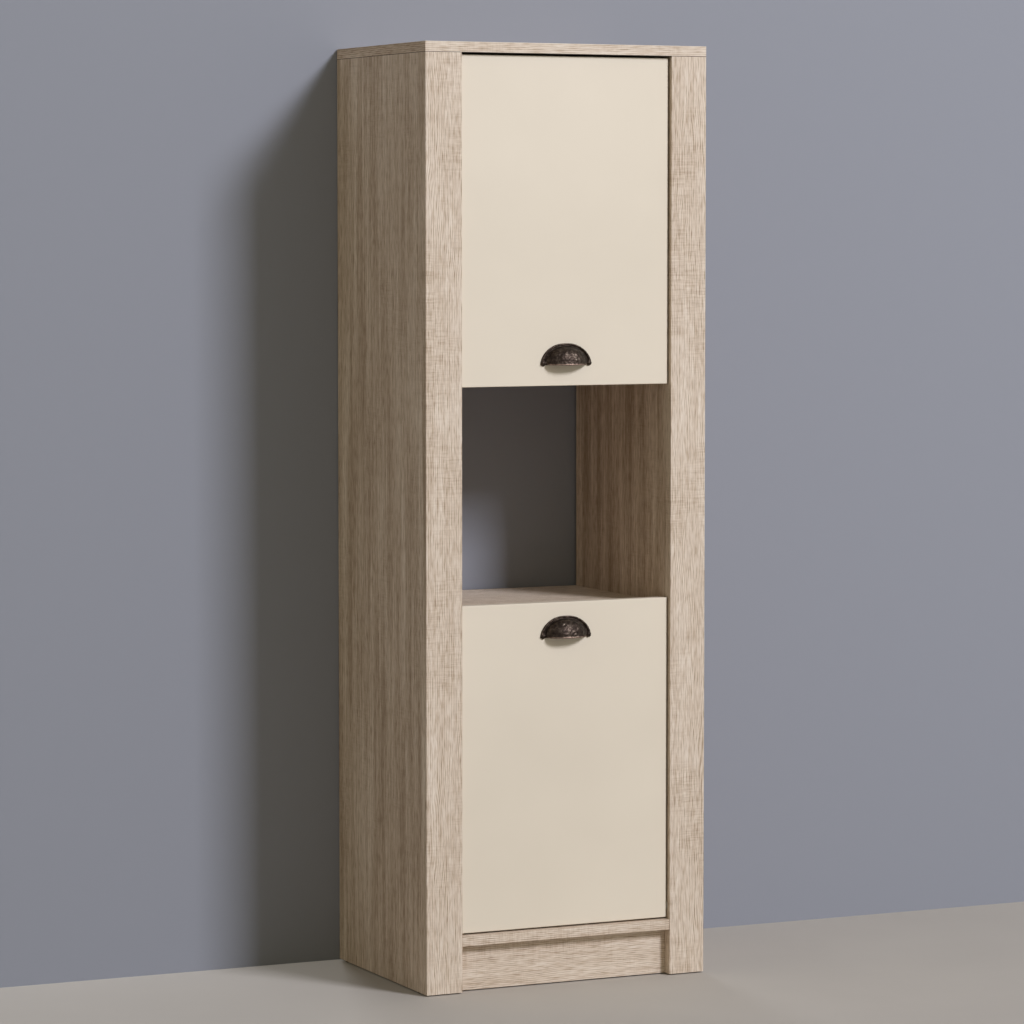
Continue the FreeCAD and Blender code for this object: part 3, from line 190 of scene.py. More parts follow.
def oak_foil(name, upright, arches, shares, joint_shade_mm=None):
    """Oak foil with its grain up or level.

    arches says by how many growth lines the figure sways. shares are how much the growth lines,
    broad streaks, fine streaks, pores and saw marks darken, and a level board's edge band at its
    ends. The last argument is the height of a joint below the board. Just above it a thin dark
    line is painted, as painted shade for the shadow in the joint.
    """
    material, tree = new_material(name)
    grain, end = grain_place(tree, upright)

    def layer(across_mm, along_mm, slice_at, low=0.0, high=1.0, detail=3.0, at=grain):
        """Noise with blobs of this size on the foil, stretched so that low to high is 0 to 1."""
        scaling = {0: at, 1: (1 / across_mm, 1 / along_mm, 1), 2: (0, 0, slice_at)}
        point = add(tree, "VectorMath", scaling, operation="MULTIPLY_ADD")
        noise = add(tree, "TexNoise", {"Vector": point, "Scale": 1.0, "Detail": detail})
        return add(tree, "MapRange", {0: noise, 1: low, 2: high})

    # A growth line is a ping-pong of its place, so it fades in and out again once per line. A
    # noise breaks it into strokes. Streaks, pores and saw marks are layers of their own.
    sway = layer(60, 260, 1.7, -0.5, 0.5, 2.0)
    turned = add(tree, "Math", {0: sway, 1: arches}, operation="MULTIPLY")
    across = add(tree, "SeparateXYZ", {0: grain})
    spaced = {0: across, 1: 1 / LINE_PITCH_MM, 2: turned}
    line_place = add(tree, "Math", spaced, operation="MULTIPLY_ADD")
    growth = add(tree, "Math", {0: line_place, 1: 0.5}, operation="PINGPONG")
    edges = add(tree, "MapRange", {0: growth, 1: 0.1, 2: 0.45})
    broken = layer(3.0, 26, 5.3, 0.26, 0.62, 2.0)
    lines = add(tree, "Math", {0: edges, 1: broken}, operation="MULTIPLY")
    broad = layer(26, 620, 9.1, 0.3, 0.7)
    fine = layer(6.5, 240, 14.2, 0.3, 0.7)
    pores = layer(2.0, 24, 19.9, 0.48, 0.7, 2.0)
    marks = layer(26, 2.5, 25.5, 0.42, 0.68, 2.0)
    patches = layer(80, 150, 31.4, 0.42, 0.66, 2.0)
    saw = add(tree, "Math", {0: marks, 1: patches}, operation="MULTIPLY")

    dark = 0.0
    for share, part in zip(shares, (lines, broad, fine, pores, saw, end)):
        dark = add(tree, "Math", {0: part, 1: share, 2: dark}, operation="MULTIPLY_ADD")
    tones = [(0.0, "#EADDCD"), (0.4, "#CAB6A0"), (0.85, "#967F68")]
    colour = add(tree, "ValToRGB", {0: dark}, stops=tones)
    # Just above the joint the foil turns dark brown in a thin line: painted shade for the shadow in
    # the joint.
    if joint_shade_mm:
        height = add(tree, "SeparateXYZ", {0: add(tree, "TexCoord", out="Object")}, 2)
        seam = add(tree, "MapRange", {0: height, 1: (joint_shade_mm + 1.3) * MM, 2: (joint_shade_mm + 0.5) * MM})
        colour = add(tree, "Mix", {0: seam, 6: colour, 7: "#3E342A"}, 2, data_type="RGBA")
    relief = add(tree, "Math", {0: 1.0, 1: dark}, operation="SUBTRACT")
    gloss = add(tree, "MapRange", {0: dark, 3: 0.52, 4: 0.7})
    finish = {"Base_Color": colour, "Roughness": gloss, "Specular_IOR_Level": 0.3}
    surface(tree, relief, PORE_DEPTH_MM, EASED_MM, **finish)
    return material


print("growth lines", LINE_PITCH_MM, "mm apart")

# %% Make the oak foils
# The height of the joint under the top board. Along it the top board gets a thin dark line of
# painted shade, for the shadow in the joint.
JOINT_MM = 1582
FLAT_CUT, RIFT_CUT = (0.44, 0.1, 0.14, 0.3, 0.18, 0.0), (0.42, 0.36, 0.28, 0.3, 0.08, 0.0)
BANDED = (0.42, 0.06, 0.14, 0.26, 0.1, 0.24)
oak_post = oak_foil("oak foil, grain upright", True, 10.0, FLAT_CUT)
oak_side = oak_foil("oak foil, grain upright, rift cut", True, 2.5, RIFT_CUT)
oak_level = oak_foil("oak foil, grain level", False, 6.0, FLAT_CUT)
oak_top = oak_foil("oak foil, grain level, joint below", False, 3.0, BANDED, JOINT_MM)
print("oak foil:", len(oak_post.node_tree.nodes), "nodes")

# %% [markdown]
# ## Cream foil and plain boards
# The door and the flap are fibreboard under a matt cream foil. It is pressed on, which leaves a
# faint orange peel and almost no change of tone: the eye sees a smooth, soft, even surface.
# Chipboard, hardboard and beech are wood in chips, fibres and pores, so each is one noise with its
# own grit in millimetres. Chipboard looks rough and speckled, the hardboard's bare side brown and
# felted, and turned beech pale and close-grained.

# %% Recipes for the plain boards


def cream_foil():
    """Cream foil: clouds of tone 300 mm wide, and peel 3 mm wide and 0.02 mm deep."""
    material, tree = new_material("cream matt foil, pressed")
    clouds = spots(tree, 300)
    colour = add(tree, "ValToRGB", {0: clouds}, stops=[(0.3, "#DFD3BF"), (0.7, "#E5D9C5")])
    surface(tree, spots(tree, 3), 0.02, 1.2, Base_Color=colour, Roughness=0.46)
    return material


def grit(name, colours, size_mm, depth_mm, roughness, metallic=0.0, **more):
    """A material of spots of one size in a few tones, from dark to pale."""
    material, tree = new_material(name)
    chips = spots(tree, size_mm, 4.0, 0.65)
    places = np.linspace(0.32, 0.68, len(colours)).tolist()
    colour = add(tree, "ValToRGB", {0: chips}, stops=list(zip(places, colours)))
    glosses = {0: chips, 1: 0.3, 2: 0.7, 3: roughness + 0.08, 4: roughness - 0.08}
    gloss = add(tree, "MapRange", glosses)
    surface(tree, chips, depth_mm, Base_Color=colour, Roughness=gloss, Metallic=metallic, **more)
    return material


def printed_hardboard():
    """Brown fibres 1.6 mm wide; the face towards -Y has a plain oak-coloured print."""
    material, tree = new_material("hardboard, printed on one face")
    chips = spots(tree, 1.6, 4.0, 0.65)
    tones = [(0.32, "#8A6A49"), (0.68, "#AD8C68")]
    fibres = add(tree, "ValToRGB", {0: chips}, stops=tones)
    facing = add(tree, "SeparateXYZ", {0: add(tree, "TexCoord", out="Normal")}, 1)
    front = add(tree, "MapRange", {0: facing, 1: -0.4, 2: -0.6})
    colour = add(tree, "Mix", {0: front, 6: fibres, 7: "#CDBBA6"}, 2, data_type="RGBA")
    surface(tree, chips, 0.04, Base_Color=colour, Roughness=0.65)
    return material


print("recipes for foil, grit and hardboard")

# %% Make the cream foil and the plain boards
cream = cream_foil()
chipboard = grit("raw chipboard", ["#9C7F5C", "#BFA27C", "#D6BC95"], 4, 0.2, 0.85)
hardboard = printed_hardboard()
beech = grit("turned beech", ["#C9A57C", "#D9B891", "#E2C6A2"], 1.2, 0.03, 0.55)
print("boards:", cream.name, "|", chipboard.name, "|", hardboard.name, "|", beech.name)

# %% [markdown]
# ## Metals and mouldings
# The hinges, stays and brackets are pressed steel with a thin bright nickel plating, which shows
# as soft reflections that change a little in gloss. Board screws and cams are zinc-plated and
# passivated, which looks duller and faintly yellow. The wire frame has a white powder coat, which
# is satin with a fine pebble. The small mouldings are nylon, milky and half matt. The glides under
# the sides are black polypropylene, and the flap's bumpers are clear silicone, which lets half of
# the light through. The real grain of all of them is too fine to show. It is drawn 0.8 to 1.4 mm
# wide, which is just coarse enough to break up the highlights.

# %% Make the metals and mouldings
nickel = grit("nickel-plated steel", ["#A9A49B", "#C9C5BD"], 1.4, 0.01, 0.33, 1.0)
zinc = grit("zinc-plated steel, passivated", ["#A8966C", "#C8B88F"], 1.4, 0.01, 0.42, 1.0)
powder_coat = grit("white powder coat on wire", ["#DCD9D0", "#EDEBE4"], 0.8, 0.05, 0.45)
nylon = grit("moulded nylon, natural", ["#CFCABF", "#DAD6CC"], 0.8, 0.03, 0.5)
black_plastic = grit("moulded polypropylene, black", ["#181716", "#262422"], 0.8, 0.03, 0.55)
clear = {"Transmission_Weight": 0.5, "IOR": 1.41}
silicone = grit("moulded silicone, clear", ["#D8D6CF", "#E4E2DC"], 0.8, 0.01, 0.3, **clear)
print("fittings:", nickel.name, "|", zinc.name, "|", powder_coat.name, "|", nylon.name)

# %% [markdown]
# ## Bronze and canvas
# The cup pulls are iron castings with a dark antique-bronze finish. The finish is darkest in the
# hollows, and hands have rubbed it through to brown metal along the lip and the rim. Along the
# lip, the rubbed metal is also painted paler than wear alone would make it, as a painted
# highlight of the light that the lip catches. The mesh carries that wear and highlight as an
# attribute, which the material reads.
#
# The bag is plain-woven cotton. Its threads are 0.8 mm apart; they are drawn 1.6 mm apart, as
# two crossed waves over the cloth's own coordinates, so that the weave shows close up. From
# further away the eye sees a dull, warm white cloth with slightly thicker threads here and there.

# %% Recipe for the bronze


def antique_bronze():
    """Dark bronze: mottles 7 mm wide, pits 1.8 mm wide, and pale rubbed metal where the attribute
    is high, which along the lip is also a painted highlight.
    """
    material, tree = new_material("antique bronze on cast iron")
    mottle, pits = spots(tree, 7, 4.0, 0.65), spots(tree, 1.8, 3.0, 0.6)
    tones = [(0.3, "#1F1813"), (0.5, "#352A22"), (0.7, "#574C41")]
    patina = add(tree, "ValToRGB", {0: mottle}, stops=tones)
    wear_and_highlight = add(tree, "Attribute", out="Fac", attribute_name="wear_and_highlight")
    thin = add(tree, "MapRange", {0: mottle, 1: 0.3, 2: 0.6})
    rubbed_and_highlit = add(tree, "Math", {0: wear_and_highlight, 1: thin}, operation="MULTIPLY")
    # Where the attribute is high the colour turns to pale rubbed metal. Along the lip this is wear
    # and a painted highlight together.
    colour = add(tree, "Mix", {0: rubbed_and_highlit, 6: patina, 7: "#C4A591"}, 2, data_type="RGBA")
    gloss = add(tree, "MapRange", {0: mottle, 1: 0.3, 2: 0.7, 3: 0.5, 4: 0.36})
    relief = add(tree, "Math", {0: pits, 1: mottle})
    surface(tree, relief, 0.18, Base_Color=colour, Roughness=gloss, Metallic=0.85)
    return material


bronze = antique_bronze()
print("pulls:", bronze.name)

# %% Recipe for the canvas
THREAD_MM = 1.6


def canvas():
    """Plain weave: the product of one sine along the cloth and one sine down it."""
    material, tree = new_material("natural cotton canvas, woven")
    cloth = add(tree, "UVMap", uv_map="cloth")
    turns = add(tree, "VectorMath", {0: cloth, "Scale": 2 * math.pi / THREAD_MM}, operation="SCALE")
    waves = add(tree, "VectorMath", {0: turns}, operation="SINE")
    warp, weft = (add(tree, "SeparateXYZ", {0: waves}, i) for i in range(2))
    weave = add(tree, "Math", {0: warp, 1: weft}, operation="MULTIPLY")
    # The hollows between the threads are darkened: painted shade.
    hollow_shade = add(tree, "MapRange", {0: weave, 1: 1.0, 2: -1.0, 3: 0.0, 4: 0.25})
    slubs = 0.0
    for stretch in ((1 / 40, 1 / 2.4, 1), (1 / 2.4, 1 / 40, 1)):
        along = add(tree, "VectorMath", {0: cloth, 1: stretch}, operation="MULTIPLY")
        noise = add(tree, "TexNoise", {"Vector": along, "Scale": 1.0})
        slubs = add(tree, "Math", {0: noise, 1: 0.5, 2: slubs}, operation="MULTIPLY_ADD")
    thread = add(tree, "ValToRGB", {0: slubs}, stops=[(0.35, "#D2C8B4"), (0.65, "#E6DECD")])
    # The darker tone mixed into the hollows is painted shade.
    colour = add(tree, "Mix", {0: hollow_shade, 6: thread, 7: "#B5A88F"}, 2, data_type="RGBA")
    relief = add(tree, "Math", {0: weave, 1: slubs})
    surface(tree, relief, 0.2, Base_Color=colour, Roughness=0.9, Sheen_Weight=0.2)
    return material


cotton = canvas()
print("bag:", cotton.name)

# %% [markdown]
# ## Finishes on the carried-over pieces
# Most pieces keep their CAD shape, so they only need their material. A table says which finish
# goes on which node, and a node that the table forgets stops the script.

# %% Give every node its finish
FINISHES = {
    oak_post: "stile_left stile_right",
    oak_side: """outer_side_left outer_side_right inner_side_left inner_side_right
        rear_batten_left rear_batten_right""",
    oak_level: "bottom_board plinth_board rear_plinth_rail niche_floor niche_ceiling upper_shelf",
    oak_top: "top_board",
    cream: "upper_door lower_flap",
    chipboard: "side_rails_left side_rails_right",
    hardboard: "upper_back_panel lower_back_panel",
    beech: "top_dowels stile_dowels",
    zinc: "carcass_screws cam_discs cam_bolts back_panel_nails bracket_screws",
    nickel: """hinge_cups hinge_pins hinge_arms hinge_plates hinge_cup_screws
        hinge_plate_screws catch_strike_plate strike_screw catch_screws upper_pull_screws
        lower_pull_screws flap_pivot_pins flap_stays stay_screws guide_screws clip_screws
        shelf_pins wall_bracket""",
    powder_coat: "bag_frame",
    nylon: "magnetic_catch stay_guides flap_bushes frame_clips",
    black_plastic: "floor_glides",
    silicone: "flap_bumpers",
    bronze: "upper_cup_pull lower_cup_pull",
    cotton: "laundry_bag",
}
finish_of = {name: material for material, names in FINISHES.items() for name in names.split()}
for name, node in nodes.items():
    node.data.materials.clear()
    node.data.materials.append(finish_of[name])
print(len(finish_of), "nodes finished with", len(FINISHES), "materials")

# %% [markdown]
# ## New pieces from numpy
# A new piece is a grid of points worked out with whole arrays. One helper turns the grid into a
# mesh. Rows and columns may close on themselves, as a tube's do.

# %% Helpers for meshes


def grid_faces(rows, columns, close_columns=False):
    """Quads over a grid of rows x columns points that are numbered row by row."""
    wide = columns if close_columns else columns - 1
    row, column = np.meshgrid(np.arange(rows - 1), np.arange(wide), indexing="ij")
    following = (column + 1) % columns
    corners = [
        row * columns + column,
        row * columns + following,
        (row + 1) * columns + following,
        (row + 1) * columns + column,
    ]
    return np.stack(corners, axis=-1).reshape(-1, 4)


def mesh_object(name, points, faces):
    """A smooth-shaded object at the origin, from points in metres and faces as point numbers."""
    mesh = bpy.data.meshes.new(name)
    mesh.from_pydata(points.reshape(-1, 3), [], faces)
    mesh.update()
    mesh.shade_smooth()
    made = bpy.data.objects.new(name, mesh)
    bpy.context.scene.collection.objects.link(made)
    return made


def points_of(mesh):
    """The mesh's vertices as an array."""
    flat = np.empty(len(mesh.vertices) * 3, np.float32)
    mesh.vertices.foreach_get("co", flat)
    return flat.reshape(-1, 3)


def apply_modifiers(made):
    """Replace the object's mesh by what its modifiers make of it."""
    bpy.context.view_layer.update()
    graph = bpy.context.evaluated_depsgraph_get()
    mesh = bpy.data.meshes.new_from_object(made.evaluated_get(graph))
    made.modifiers.clear()
    made.data = mesh
    made.data.name = made.name
    mesh.shade_smooth()


print("mesh helpers ready")

# %% [markdown]
# ## The cup pulls
# A cup pull is a half dome that is open below for the fingers, with a raised rim round its arch
# and a rounded foot at each end, where it was cast thicker. A closed section runs from the inside
# of the dome round the lip, up the outside, through a groove and over the rim. It is carried
# from one end to the other, and the feet are squashed balls. A voxel remesh melts all of it into
# one casting, and a soft ripple over the surface gives it the look of beaten metal.

# %% The dome of a cup pull
# Half its length, how far it stands out and how high it rises, in millimetres; then its walls.
HALF, OUT, RISE = 40.0, 23.3, 30.9
WALL, END_WALL = 2.2, 3.3
AXIS_BACK = (RISE**2 - OUT**2) / (2 * OUT)
BOW = (HALF**2 + OUT**2) / (2 * OUT)
BOW_CENTRE = BOW - OUT - AXIS_BACK
STEEP_ENDS, FULL_FRONT = 0.25, 0.75


def dome(share, half, radius, turns):
    """Points on a bow of this radius, turned about the pull's level axis behind the door.

    At x = share * half, the bow stands sqrt(radius**2 - w**2) - centre off the axis. Here w is
    x * |share|**STEEP_ENDS, which makes the ends steeper than a circle's. Turned by an angle a, the
    bow is that reach times (cos a)**FULL_FRONT in front of the axis, which is fuller than a circle,
    and times sin a above it. turns runs from 0 at the lip to 1 where the dome meets the door.
    """
    across = share * half
    reach = np.sqrt(radius**2 - (across * np.abs(share) ** STEEP_ENDS) ** 2) - BOW_CENTRE
    meets = np.clip(AXIS_BACK / reach, 0, 1) ** (1 / FULL_FRONT)
    angle = np.arccos(meets)[:, None] * turns[None, :]
    x = np.broadcast_to(across[:, None], angle.shape)
    y = AXIS_BACK - reach[:, None] * np.cos(angle) ** FULL_FRONT
    z = reach[:, None] * np.sin(angle)
    return np.stack([x, y, z], axis=-1)


print("dome", 2 * HALF, "x", OUT, "x", RISE, "mm, its bow's radius", round(BOW, 1), "mm")

# %% The shell of a cup pull
LIP_BEAD, RIM, FOOT_WIDENING = 0.7, 4.6, 3.2
# Across the rim: the share of its width, and how proud of the door it stands in millimetres. It
# starts with a groove beside the dome, rises to a round ridge and falls to the door.
RIM_ACROSS = np.array([0.1, 0.28, 0.38, 0.5, 0.7, 0.88, 1.0, 1.0])
RIM_PROUD = np.array([0.9, 0.6, 1.7, 3.0, 3.2, 2.6, 1.3, 0.0])


def pull_shell(stations=161):
    """The closed section at each station along the pull, as an array of stations x points x 3.

    The rim goes outward from the foot of the dome, square to the arch that the foot runs along.
    """
    share = np.sin(np.linspace(-1, 1, stations) * math.pi / 2)
    outside = dome(share, HALF, BOW, np.linspace(0, 1, 26))
    inside = dome(share, HALF - END_WALL, BOW - WALL, np.linspace(1, 0, 22))
    middle = (outside[:, :1] + inside[:, -1:]) / 2
    lip = middle + [0, 0, -LIP_BEAD]
    foot = outside[:, -1:]
    run = np.gradient(foot[:, 0], axis=0)
    outward = np.stack([-run[:, 2], np.zeros(stations), run[:, 0]], axis=-1)
    outward = outward / np.linalg.norm(outward, axis=-1, keepdims=True)
    width = RIM + FOOT_WIDENING * share**4
    rim = foot + outward[:, None] * (RIM_ACROSS[None, :] * width[:, None])[:, :, None]
    rim[:, :, 1] -= RIM_PROUD[None, :]
    return np.concatenate([inside, lip, outside, rim], axis=1)


print("section of", pull_shell(3).shape[1], "points")

# %% The feet and the beaten surface
# The centre and the half sizes of the right foot, in millimetres from the middle of the lip.
FOOT_CENTRE, FOOT_SIZE = np.array([42.9, -0.8, 2.6]), np.array([5.1, 4.4, 5.0])


def ball(centre, size, rings=24, around=32):
    """A squashed ball: x, y and z are the size times the cosines of its two angles."""
    up = np.linspace(-math.pi / 2, math.pi / 2, rings)[:, None]
    turn = np.linspace(0, 2 * math.pi, around, endpoint=False)[None, :]
    unit = [np.cos(up) * np.cos(turn), np.cos(up) * np.sin(turn), np.sin(up) + 0 * turn]
    return np.stack(unit, axis=-1) * size + centre


def ripple(points, lengths, seed):
    """Smooth hollows from a sum of sines: each has its own direction, length and start."""
    rng = np.random.default_rng(seed)
    total = np.zeros(len(points))
    for length in lengths:
        for direction in rng.normal(size=(5, 3)):
            direction /= np.linalg.norm(direction)
            total += np.sin(points @ direction * 2 * math.pi / length + rng.uniform(0, 6.28))
    return total / (5 * len(lengths)) ** 0.5


print("feet", 2 * FOOT_SIZE, "mm")

# %% Cast and beat a pull, and paint its wear and the lip's highlight
VOXEL_MM = 0.55
LIP_OVER_FEET = 2.5
# The pull stays inside its CAD node, which stands this far off the door.
DEEPEST = 24.0
# Hammered hollows and a finer casting skin: their lengths and depths in millimetres, and how far
# all of it is sunk, so that most crests stay below the section.
HOLLOWS, HOLLOW_DEPTH = (9.0, 5.5), 0.22
SKIN, SKIN_DEPTH = (2.6,), 0.03
SUNK = 0.2
# How strongly each edge is rubbed. Along the lip this rubbed tone is also a painted highlight.
LIP_WEAR_AND_HIGHLIGHT, RIM_WEAR = 0.8, 0.12


def cast_pull(name, origin):
    """The shell, its two end faces and its feet, melted into one mesh. origin is in millimetres."""
    shell = pull_shell()
    stations, section = shell.shape[:2]
    points, faces = [shell.reshape(-1, 3)], [grid_faces(stations, section, True)]
    ends = [list(range(section)), list(range((stations - 1) * section, stations * section))]
    start = stations * section
    for side in (-1, 1):
        lump = ball(FOOT_CENTRE * [side, 1, 1], FOOT_SIZE)
        points.append(lump.reshape(-1, 3))
        faces.append(grid_faces(*lump.shape[:2], True) + start)
        start += lump.shape[0] * lump.shape[1]
    made_points = np.concatenate(points) + origin
    made_faces = [*np.concatenate(faces).tolist(), ends[0][::-1], ends[1]]
    made = mesh_object(name, made_points * MM, made_faces)
    melt = made.modifiers.new("melt", "REMESH")
    melt.mode = "VOXEL"
    melt.voxel_size = VOXEL_MM * MM
    apply_modifiers(made)
    return made


def beat_wear_and_highlight(mesh, origin, seed):
    """Move the mesh's points along their normals by the ripple, and write their wear and highlight.

    Hollows grow from the door outward, and the lip keeps its round bead. The attribute is a bell
    curve of the height over the lip, which is wear and painted highlight at once, and a fainter
    one round the crest of the rim, which is wear only.
    """
    place = points_of(mesh) / MM - origin
    normals = np.empty(len(mesh.vertices) * 3, np.float32)
    mesh.vertex_normals.foreach_get("vector", normals)
    free = np.clip(-place[:, 1] / 2, 0, 1)
    proud = np.clip((-place[:, 1] - 5) / 5, 0, 1)
    hammered = ripple(place, HOLLOWS, seed) * HOLLOW_DEPTH
    beaten = hammered + ripple(place, SKIN, seed + 1) * SKIN_DEPTH - SUNK
    bead = np.exp(-(((place[:, 2] - LIP_BEAD) / 1.0) ** 2)) * proud
    moved = beaten * free * (1 - bead) + LIP_BEAD * bead
    place = place + normals.reshape(-1, 3) * moved[:, None]
    place[:, 1] = np.clip(place[:, 1], -DEEPEST, 0)
    crest = np.exp(-(((place[:, 1] + 3.0) / 0.5) ** 2))
    rim_wear = RIM_WEAR * crest * np.clip(place[:, 2] / 8, 0, 1)
    # Along the lip: rubbed metal, which is also a painted highlight of the light that the lip
    # catches.
    lip_wear_and_highlight = LIP_WEAR_AND_HIGHLIGHT * np.exp(-(((place[:, 2] - 0.5) / 0.8) ** 2)) * proud
    wear_and_highlight = mesh.attributes.new("wear_and_highlight", "FLOAT", "POINT")
    wear_and_highlight.data.foreach_set("value", (lip_wear_and_highlight + rim_wear).astype(np.float32))
    world = ((place + origin) * MM).astype(np.float32)
    mesh.vertices.foreach_set("co", world.ravel())
    mesh.update()


print("casting melted at", VOXEL_MM, "mm")

# %% Make both pulls


def cup_pull(name, node, body, seed):
    """One cup pull at its CAD node's place, riding on the node's body."""
    low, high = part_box(node)
    origin = [0, high.y / MM, low.z / MM + LIP_OVER_FEET]
    made = cast_pull(name, origin)
    mesh = made.data
    beat_wear_and_highlight(mesh, origin, seed)
    mesh.materials.append(bronze)
    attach(made, body)
    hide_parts(node)
    print(name, len(mesh.polygons), "faces")


cup_pull("upper_pull_casting", "upper_cup_pull", "upper_door", 5)
cup_pull("lower_pull_casting", "lower_cup_pull", "laundry_flap", 8)

# %% [markdown]
# ## The laundry bag
# The bag is sewn from canvas and hung in the wire frame, its hem folded over the wire. It is a
# lofted shell: a rounded rectangle is carried down the walls, draws in a little below its hem,
# swells where the laundry lies, turns in at the bottom and closes in the middle of its base. The
# wall ripples, most near the hem, where the cloth is gathered.

# %% One ring of the bag


def rounded_rectangle(half_x, half_y, radius):
    """Points round a rectangle with round corners, as many for every size.

    Each quarter is an arc round its corner's centre, and the straights between are shared out
    evenly, so that rings of different size match point for point.
    """
    turn = np.linspace(0, math.pi / 2, 13)
    corners = [(1, 1), (-1, 1), (-1, -1), (1, -1)]
    parts = []
    for index, corner in enumerate(corners):
        centre = np.array(corner) * [half_x - radius, half_y - radius]
        angle = turn + index * math.pi / 2
        parts.append(centre + radius * np.stack([np.cos(angle), np.sin(angle)], axis=-1))
        next_centre = np.array(corners[(index + 1) % 4]) * [half_x - radius, half_y - radius]
        last = angle[-1]
        end = next_centre + radius * np.array([math.cos(last), math.sin(last)])
        steps = np.linspace(0, 1, 26)[1:-1, None]
        parts.append(parts[-1][-1] * (1 - steps) + end * steps)
    return np.concatenate(parts)


print("ring of", len(rounded_rectangle(2, 2, 1)), "points")

# %% The profile of the bag
# The hem over the wire and the stitched band below it: how far each ring stands out, and how far
# it is below the top, in millimetres.
HEM = ((6.2, 2.2), (5.9, 0.8), (4.6, 0.1), (3.0, 0), (1.2, 0.4))
BAND = ((1.0, 6), (1.0, 22), (0.9, 24), (-0.8, 25), (0.0, 26.5))
# The wall's distance inside the node's box, its corners' radius and the radius of the turn below.
INSET, CORNER, BEND = 7, 29, 34.0
# How far the wall draws in, about a quarter of the way down, and swells, three quarters down.
DRAWN_IN, SWELL = 4.5, 2.0
# Where the first ring of the wall is: below the top, and in the row of rings.
WALL_DOWN, FIRST_WALL = 34, len(HEM) + len(BAND)


def bag_profile(top, base):
    """Each ring's distance outward and height: hem, band, walls, and a quarter turn to the base.

    The walls draw in by a half sine wave over their upper half and swell by another over the lower.
    """
    seam = BAND[-1][1]
    walls = np.linspace(top - WALL_DOWN, base + BEND, 38)
    drop = np.clip((top - seam - walls) / (top - base), 0, 1)
    drawn = -DRAWN_IN * np.sin(math.pi * np.clip(drop / 0.55, 0, 1))
    swell = SWELL * np.sin(math.pi * np.clip((drop - 0.5) * 2, 0, 1))
    turn = np.linspace(0, math.pi / 2, 10)[1:]
    turned_in = zip(-BEND * (1 - np.cos(turn)), base + BEND * (1 - np.sin(turn)))
    hem = [(out, top - down) for out, down in (*HEM, *BAND)]
    return [*hem, *zip(drawn + swell, walls), *turned_in]


print("rings down to the base:", len(bag_profile(400, 0)))

# %% All rings of the bag
# Slow and quick folds: how many go round the bag, by how much and how often round they sway, over
# how many millimetres of height they slant by one radian, and how deep they are.
FOLDS = ((11, 1.6, 3, 150, 3.0), (27, 2, 5, 45, 1.2))
FOLDS_SUNK = 4.0
# How far below the top and above the base the folds begin, and over how much height they grow.
BELOW_TOP, ABOVE_BASE = (26, 70), (15, 60)
# How far the base bulges up halfway to its middle.
CROWN = 2.5


def bag_rings(low, high):
    """Rings from the hem down to the middle of the base, as rings x points x 3, in millimetres.

    The base's rings shrink to a point. Then each point moves outward by the folds, each of them a
    sine of the turn round the bag, with a slower sine and the height added. They fade near the
    seam and the base.
    """
    centre_y = (low[1] + high[1]) / 2
    half_x, half_y = (high[0] - low[0]) / 2 - INSET, (high[1] - low[1]) / 2 - INSET
    top, base = high[2], low[2]
    rings = []
    for out, z in bag_profile(top, base):
        ring = rounded_rectangle(half_x + out, half_y + out, max(CORNER + out, 8))
        rings.append(np.column_stack([ring, np.full(len(ring), z)]))
    outer = rings[-1]
    for share in np.linspace(0, 1, 14)[1:]:
        ring = outer * (1 - share)
        ring[:, 2] = base + CROWN * math.sin(math.pi * share)
        rings.append(ring)
    rings = np.array(rings)
    around = np.linspace(0, 2 * math.pi, rings.shape[1], endpoint=False)
    above = rings[:, :1, 2] - base
    below_top = np.clip((top - base - BELOW_TOP[0] - above) / BELOW_TOP[1], 0, 1)
    depth = below_top * np.clip((above - ABOVE_BASE[0]) / ABOVE_BASE[1], 0, 1)
    fade = 0.5 + 0.5 * np.clip(above / (top - base), 0, 1)
    folds = 0.0
    for number, sway, sways, slant, deep in FOLDS:
        wave = np.sin(number * around + sway * np.sin(sways * around) + above / slant)
        folds = folds + wave * deep
    folds = folds - FOLDS_SUNK
    outward = rings[:, :, :2] / np.linalg.norm(rings[:, :, :2] + 1e-9, axis=-1, keepdims=True)
    rings[:, :, :2] += outward * (folds * depth * fade)[:, :, None]
    rings[:, :, 1] += centre_y
    return rings


print("folds:", [fold[0] for fold in FOLDS])

# %% Sew the bag
CLOTH_MM, POLE_MM = 1.1, 0.05
low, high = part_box("laundry_bag")
rings = bag_rings(np.array(low) / MM, np.array(high) / MM)
count, around = rings.shape[:2]
bag = mesh_object("laundry_bag_canvas", rings * MM, grid_faces(count, around, True).tolist())
lengths = np.linalg.norm(np.diff(rings, axis=0), axis=-1)
down = np.concatenate([np.zeros((1, around)), np.cumsum(lengths, axis=0)])
step = np.linalg.norm(rings - np.roll(rings, 1, axis=1), axis=-1)
along = np.broadcast_to(np.cumsum(step[FIRST_WALL])[None, :], down.shape)
uv = np.stack([along, down], axis=-1).reshape(-1, 2)
layer = bag.data.uv_layers.new(name="cloth")
corner = np.empty(len(bag.data.loops), np.int32)
bag.data.loops.foreach_get("vertex_index", corner)
layer.data.foreach_set("uv", uv[corner].astype(np.float32).ravel())
pole = bag.modifiers.new("close the middle of the base", "WELD")
pole.merge_threshold = POLE_MM * MM
thick = bag.modifiers.new("cloth", "SOLIDIFY")
thick.thickness = CLOTH_MM * MM
thick.offset = 1.0
apply_modifiers(bag)
bag.data.materials.append(cotton)
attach(bag, "laundry_flap")
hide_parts("laundry_bag")
print("bag sewn,", len(bag.data.polygons), "faces")

